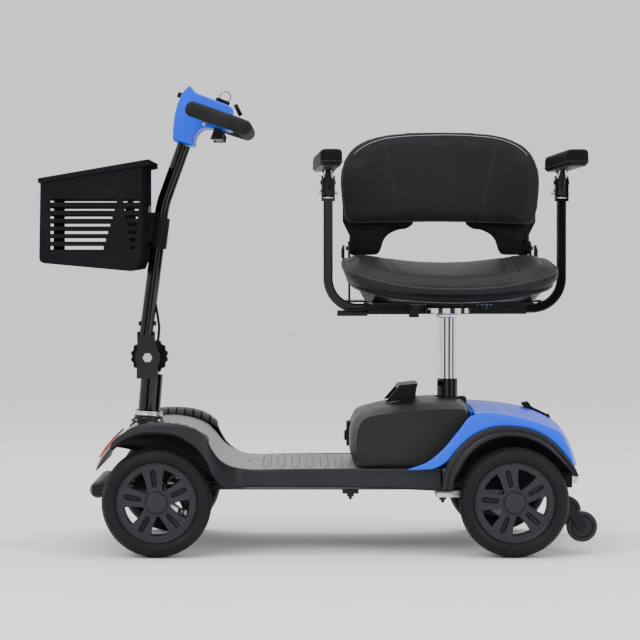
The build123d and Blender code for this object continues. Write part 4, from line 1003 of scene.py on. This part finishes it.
BAND_TOP = [(-375, 203), (-371, 211.5), (-348, 229.5), (-322.5, 241.5), (-290, 245), (-248.5, 242.5),
            (-219.6, 233), (-203.4, 220), (-191, 195.5), (-176, 175), (-153, 161), (-121, 156),
            (-60, 156.8), (60, 157.6), (150, 157.6), (228, 157.6)]
BAND_LOW = [(-376, 198.5), (-369, 200.5), (-354.7, 212), (-332, 223), (-306, 228), (-261, 224.5),
            (-235.6, 212), (-216.2, 196), (-200, 173.5), (-189, 147.5), (-163, 126.5), (-121, 126),
            (-60, 125.8), (60, 125.4), (150, 123), (229, 119.6)]


def band_width(x):
    """How far out the skirt stands: wide at the fender, then in to the deck's side."""
    t = min(1.0, max(0.0, (x + 214) / 82))
    t = t * t * (3 - 2 * t)
    nose = max(0.0, (-352 - x) / 24) ** 2 * 5
    return 248.6 - 60.2 * t - nose


def make_band(side_name, side):
    """The skirt along one side: over the front wheel and along the deck."""
    rows = []
    for (ax, az), (bx, bz) in zip(curve_2d(BAND_TOP, 14), curve_2d(BAND_LOW, 14)):
        row = []
        # Painted shade: the last two stations drop the lower edge a few millimetres and fold it inward,
        # a dark flange that stands in for the shadow line under the skirt.
        for t, out, rise in ((0, -13, -3.5), (0, -8, -0.6), (0, -4.6, 0.2), (0, -2.2, -0.4),
                             (0, -0.6, -1.8), (0.06, 0.0, -2.4), (0.2, 0.7, 0), (0.45, 0.9, 0),
                             (0.7, 0.6, 0), (0.88, 0.1, 0), (0.96, 0.6, 0), (1.0, 0.2, 0.4),
                             (1.0, -1.6, -0.1), (1.0, -3.4, 0.4), (1.0, -4.0, -3.2),
                             (1.0, -12, -4.4)):
            x, z = ax + (bx - ax) * t, az + (bz - az) * t
            row.append(Vector((x, side * (band_width(x) + out), z + rise)))
        rows.append(row)
    band = skin(f"skirt_{side_name}", rows, "dark_skirt", "chassis", wall=1.6)
    if side_name == "left":
        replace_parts(band, "side_skirts")


def make_front_tub(side_name, side):
    """The dark wall inside the front wheel."""
    ceiling = [(-374, 199), (-346, 218), (-306, 227), (-268, 227), (-237, 220), (-211, 206),
               (-194, 185), (-178, 152)]
    bottom = [(-374, 195), (-339, 188), (-312, 178), (-290, 170), (-262, 160), (-235, 146),
              (-210, 132), (-178, 127)]
    wall = [[Vector((ax, side * 150, az)), Vector((ax, side * 147.5, az - 2)),
             Vector(((ax + bx) / 2, side * 146.5, (az + bz) / 2)), Vector((bx, side * 147, bz + 1)),
             Vector((bx, side * 150, bz))]
            for (ax, az), (bx, bz) in zip(curve_2d(ceiling, 8), curve_2d(bottom, 8))]
    skin(f"front_tub_{side_name}", wall, "dark_skirt", "chassis", wall=1.6)


def make_fender_grips(side_name, side):
    """A row of rubber lumps along the fender's crest, which falls away to the rear."""
    lump = [(-6.6, -5), (6.6, -5), (7.4, 0), (6.6, 5), (-6.6, 5), (-7.4, 0)]
    tread = outline_loop(lump, 24)
    for k in range(7):
        x = -304 + 16.5 * k
        past = max(0.0, x + 268)
        crest, slope = 230.2 - past ** 2 * 0.0052, -0.0104 * past
        levels = []
        for scale, height in ((1.0, 0.0), (0.98, 8.0), (0.9, 12.2), (0.6, 14.4), (0.2, 15.0)):
            levels.append([Vector((x + u * scale, side * (226 + 2.2 * v * scale),
                                   crest + height + u * scale * slope)) for u, v in tread])
        solid(f"fender_grip_{side_name}_{k}", levels, "bumper_rubber", "chassis")


def make_head_race():
    """The steering head's bearing rings and its flange with four screws, square to the column."""
    lean = math.radians(4.5)
    axis = Vector((math.sin(lean), 0, math.cos(lean)))
    foot = Vector((-319.5, 0, 254))
    turned("head_race", [(25.1, -10.8), (26.2, -10.4), (26.6, -8.6), (26.2, -6.6), (25.3, -6.0),
                         (25.4, -5.2), (26.0, -4.6), (26.0, -2.6), (25.2, -1.8), (23.0, -1.4),
                         (21.5, -1.0), (21.5, -10.8), (25.1, -10.8)], foot, axis, "zinc", "chassis")
    turned("head_flange", [(25.1, -24), (33, -24), (33.6, -22.6), (32.5, -20.6), (29, -18),
                           (27.2, -14), (26.6, -11), (25.1, -11)],
           foot, axis, "black_steel", "chassis")
    for k in range(4):
        turn = math.radians(45 + 90 * k)
        around = foot + axis * -20.5 + Vector((29.5 * math.cos(turn), 29.5 * math.sin(turn), 0))
        bolt(f"head_flange_screw_{k}", around, axis, 3.2, 3.4, "zinc", "chassis")


def make_deck_marks():
    """The deck's round studs beside its ribs, the ribs' raised edges and a drain hole."""
    ribs = (-96, -69, -42, -15, 12, 39)
    for side_name, side in SIDES.items():
        for rib in ribs:
            turned(f"deck_dot_{side_name}_{rib + 100}", [(0, 0.5), (1.9, 0.5), (2.5, 0.0)],
                   (rib + 3, side * 143, 157.0), Z_AXIS, "seam_dark", "chassis", steps=16)
    for rib in ribs:
        for shift in (-7, 7):
            tube(f"deck_rib_{rib + 100}_{shift + 7}",
                 [(rib + shift, y, 157.1) for y in (-128, -60, 0, 60, 128)], 0.55,
                 "bumper_rubber", "chassis", sides=6)
    turned("deck_hole", [(0, 0.5), (3.6, 0.5), (4.4, 0)], (-129, 0, 156.6), Z_AXIS, "seam_dark",
           "chassis", steps=24)


each_side(make_band, make_front_tub, make_fender_grips)
make_head_race()
make_deck_marks()

# ---------------------------------------------------------------- seat fittings


def plate(name, outline, near, far, place, look, body, edge=1.0):
    """A flat piece with rounded edges: its outline stands between two depths."""
    middle_u = sum(u for u, _ in outline) / len(outline)
    middle_v = sum(v for _, v in outline) / len(outline)
    rows = []
    for inset, depth in ((edge, near), (edge * 0.3, near + edge * 0.3), (0, near + edge),
                         (0, far - edge), (edge * 0.3, far - edge * 0.3), (edge, far)):
        row = []
        for u, v in outline:
            gap = math.hypot(u - middle_u, v - middle_v) or 1.0
            row.append(place(u - (u - middle_u) / gap * inset, v - (v - middle_v) / gap * inset,
                             depth))
        rows.append(row)
    return solid(name, rows, look, body)


def make_charge_port():
    """The charging plate on the battery's front wall, with its round cap."""
    plate("charge_plate", rounded_box((-30, 30), (187, 233), 8), 54.2, 60.5,
          lambda y, z, x: Vector((x, y, z)), "black_plastic", "battery")
    turned("charge_cap", [(0, 4.3), (8.6, 4.3), (10, 3.0), (10, 0)], (54.4, 0, 206), -X_AXIS,
           "black_plastic", "battery", steps=40)


def make_seat_tray():
    """The dark tray that carries the cushion."""
    rows = [cushion_ring(scale, lambda a, b: cushion_under(a, b) + drop, 96)
            for scale, drop in ((0.955, 6.0), (0.95, -1.0), (0.93, -4.0), (0.86, -7.0))]
    rows += [cushion_ring(scale, lambda *_: z, 96)
             for scale, z in ((0.78, 462.5), (0.70, 460.6), (0.4, 460.4))]
    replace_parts(solid("seat_tray", rows, "black_plastic", "seat"), "seat_shell")


def make_back_fittings(side_name, side):
    """The backrest's wing-shaped bracket with its pivot bolt and latch block."""
    wing = [(-176, 614), (-177, 580), (-176, 549), (-150, 547), (-124, 548), (-116.5, 556),
            (-113, 566), (-109, 577), (-99, 588), (-82, 596), (-62, 600), (-60, 614)]
    plate(f"back_wing_{side_name}", outline_loop(wing, 72), 186.2, 191.4,
          lambda u, v, w: seat_point(-side * u, w, v), "black_plastic", "backrest")
    bolt(f"back_pivot_{side_name}", seat_point(side * 186.5, 184, 560), SEAT_SIDE * side, 6.5, 5,
         "black_steel", "seat")
    latch = [(-8, 541), (0, 540), (8, 541), (9, 549), (8, 558), (0, 560), (-8, 558), (-9, 549)]
    plate(f"back_latch_{side_name}", outline_loop(latch, 48), 186.6, 193.0,
          lambda u, v, w: seat_point(side * w, 184 + u, v), "black_plastic", "seat")


def make_arm_fittings(side_name, side):
    """The hanger under an arm pad, its knuckle on the arm tube, two screws and two links."""
    def at(across, back, z):
        return seat_point(side * ARM_SIDE + across, back, z)

    arm, armrest = f"arm_{side_name}", f"armrest_{side_name}"
    hanger = [(-8, 662), (0, 660), (8, 662), (9.5, 690), (7, 701), (15, 711), (15, 714), (0, 715),
              (-15, 714), (-15, 711), (-7, 701), (-9.5, 690)]
    plate(f"arm_hanger_{side_name}", outline_loop(hanger, 64), 51, 69,
          lambda u, v, w: at(u, w, v), "black_steel", armrest)
    turned(f"arm_knuckle_{side_name}", [(0, -13), (8.2, -13), (9.4, -11.5), (9.6, -3), (8.8, -2),
                                        (8.8, 2), (9.6, 3), (9.4, 11.5), (8.2, 13), (0, 13)],
           at(0, 60, 667), SEAT_SIDE, "black_steel", arm)
    for end in (-1, 1):
        bolt(f"arm_screw_{side_name}_{end + 1}", at(end * 13, 60, 667), SEAT_SIDE * end, 4.6, 6.0,
             "zinc", arm)
        tube(f"arm_link_{side_name}_{end + 1}",
             [at(end * 9, 58, 678), at(end * 9.6, 55, 690), at(end * 7, 50, 702),
              at(end * 5, 44, 711)], 2.4, "zinc", armrest)


def make_seat_hardware():
    """The spacers between the seat plate and the tray, and the post's top collar."""
    for side in SIDES.values():
        for k in range(3):
            turned(f"seat_spacer_{side + 1}_{k}",
                   [(0, 5), (4.6, 5), (5.2, 4.2), (5.2, 0.8), (4.6, 0), (0, 0)],
                   seat_point(side * 62 + 9 * k - 9, -96, 455.0), Z_AXIS, "zinc", "seat", steps=24)
    turned("post_collar", [(16.8, -9), (24, -9), (26.5, -7.8), (27.6, -5), (26.8, -2.6), (22, -1.2),
                           (16.8, -0.8)], POST + Z_AXIS * 438, Z_AXIS, "chrome", "post")


make_seat_tray()
each_side(make_back_fittings, make_arm_fittings)
make_seat_hardware()

# ---------------------------------------------------------------- tiller

HEAD_SIDE = [(-240.3, 865.6), (-229.4, 853.5), (-212, 845.8), (-187, 836), (-163.5, 826),
             (-160.2, 817), (-159.6, 799), (-160.6, 781), (-178, 782), (-196.2, 783.7),
             (-210.5, 785.4), (-220.3, 781.6), (-227.6, 772.9), (-231.3, 763.3), (-233, 751.4),
             (-245, 754.6), (-258, 758.6), (-271, 762.9), (-271.9, 777), (-271, 792.2),
             (-267.4, 815.2), (-261.4, 835.6), (-251.6, 854.3)]


def outward_normals(loop):
    """The direction out of a closed 2-D outline at each of its points, smoothed along it."""
    count = len(loop)
    area = sum(loop[k - 1][0] * loop[k][1] - loop[k][0] * loop[k - 1][1] for k in range(count))
    turn = 1 if area > 0 else -1
    sharp = []
    for k in range(count):
        (ax, az), (bx, bz) = loop[k - 2], loop[(k + 2) % count]
        length = math.hypot(bx - ax, bz - az) or 1.0
        sharp.append((turn * (bz - az) / length, turn * -(bx - ax) / length))
    return [tuple(sum(sharp[(k + j) % count][axis] for j in range(-3, 4)) / 7 for axis in (0, 1))
            for k in range(count)]


def make_head():
    """The tiller head's moulded casing, with a parting line round its middle."""
    loop = outline_loop(HEAD_SIDE, 150)
    pairs = list(zip(loop, outward_normals(loop)))
    stations = [(-57, 3.6), (-56.7, 2.8), (-55.8, 1.9), (-53.6, 1.1), (-50, 0.6), (-44, 0.3),
                (-34, 0.1), (-18, 0.0), (0, 0.0)]
    stations += [(-y, inset) for y, inset in stations[-2::-1]]
    rows = [[Vector((u - nu * inset, y, v - nv * inset)) for (u, v), (nu, nv) in pairs]
            for y, inset in stations]
    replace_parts(solid("head_casing", rows, "blue_body", "tiller"), "tiller_head")
    parting = [(u + nu * 0.15, 0, v + nv * 0.15) for (u, v), (nu, nv) in pairs]
    tube("head_parting_line", parting + parting[:1], 0.5, "seam_dark", "tiller", sides=6, curve=False)


def make_head_side(side_name, side):
    """A cheek of the head: a screw, the handlebar's round mount and a sunk panel."""
    out = (0, side, 0)
    bolt(f"head_screw_{side_name}", (-213, side * 56.6, 792), out, 3.4, 1.2, "zinc", "tiller")
    bolt(f"head_mount_{side_name}", (-206, side * 56, 806), out, 13, 83.0, "black_plastic", "tiller",
         socket=False)
    panel = outline_loop([(-258, 772), (-249, 766), (-245, 774), (-249, 790), (-256, 796)], 40)
    plate(f"head_recess_{side_name}", panel, 56.0, 57.3, lambda u, v, w: Vector((u, side * w, v)),
          "blue_body", "tiller", edge=0.5)


def make_head_controls():
    """The horn button, the key's raised block and the ring that hangs from the key."""
    turned("horn_button", [(0, 9), (4.4, 9), (5.2, 8), (5.4, 3), (6.4, 2), (6.8, 0)],
           (-256.5, 0, 848), (-0.93, 0, 0.37), "black_plastic", "tiller", steps=32)
    block = outline_loop([(-12, -11), (12, -11), (13, 0), (12, 11), (-12, 11), (-13, 0)], 48)
    lid = Vector((-182, 0, 832.5))
    ahead, up = Vector((0.927, 0, -0.375)), Vector((0.375, 0, 0.927))
    plate("key_block", block, 0, 9.5, lambda u, v, w: lid + ahead * u + Vector((0, v, 0)) + up * w,
          "black_plastic", "tiller", edge=1.6)
    ring = []
    for k in range(25):
        c, s = math.cos(2 * math.pi * k / 24), math.sin(2 * math.pi * k / 24)
        ring.append((-175 + 10.2 * c, 4.0 + 2 * s, 846.4 + 10.2 * s))
    tube("key_ring", ring, 0.9, "black_plastic", "ignition_key", sides=8, count=72)


def make_grip():
    """The foam-covered U-shaped handlebar with closed round ends."""
    straight, bend, radius, end_length = 63.5, 38, 14.2, 12
    ahead = Vector((93, 0, -32)).normalized()
    half = [Vector((-231.5, -150, 816.0)) + ahead * (straight * k / 8) for k in range(9)]
    corner = half[-1].copy()
    for k in range(1, 10):
        angle = math.radians(10 * k)
        half.append(corner + ahead * (bend * math.sin(angle))
                    + Vector((0, bend * (1 - math.cos(angle)), 0)))
    line = smooth_line(half + [Vector((p.x, -p.y, p.z)) for p in half[::-1]], 150)
    first, last = (line[1] - line[0]).normalized(), (line[-1] - line[-2]).normalized()
    ends = [(1.0, 0.12), (0.93, 0.4), (0.78, 0.65), (0.55, 0.85), (0.28, 0.96), (0.0, 1.0)]
    stations = [(line[0] - first * end_length * back, first, size) for back, size in ends]
    stations += [(line[k], (line[k + 1] - line[k - 1]).normalized(), 1)
                 for k in range(1, len(line) - 1)]
    stations += [(line[-1] + last * end_length * back, last, size) for back, size in ends[::-1]]
    side_up = Vector((0.3254, 0, 0.9456))
    rows = []
    for point, heading, size in stations:
        out = heading.cross(side_up).normalized()
        angles = [2 * math.pi * s / 28 for s in range(28)]
        rows.append([point + (out * math.cos(a) + side_up * math.sin(a)) * radius * size
                     for a in angles])
    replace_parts(solid("grip_foam", rows, "foam", "tiller"), "handlebar")


def make_bar_sleeve(side_name, side):
    """The bare aluminium end of the frame's rear cross bar."""
    section = [(218, 103.2), (263, 103.2), (263, 115.2), (218, 115.2)]
    plate(f"bar_sleeve_{side_name}", section, 130.0, 171.0, lambda x, z, y: Vector((x, side * y, z)),
          "aluminium", "chassis", edge=0.6)


each_side(make_bar_sleeve)
make_charge_port()
make_head()
each_side(make_head_side)
make_head_controls()
make_grip()
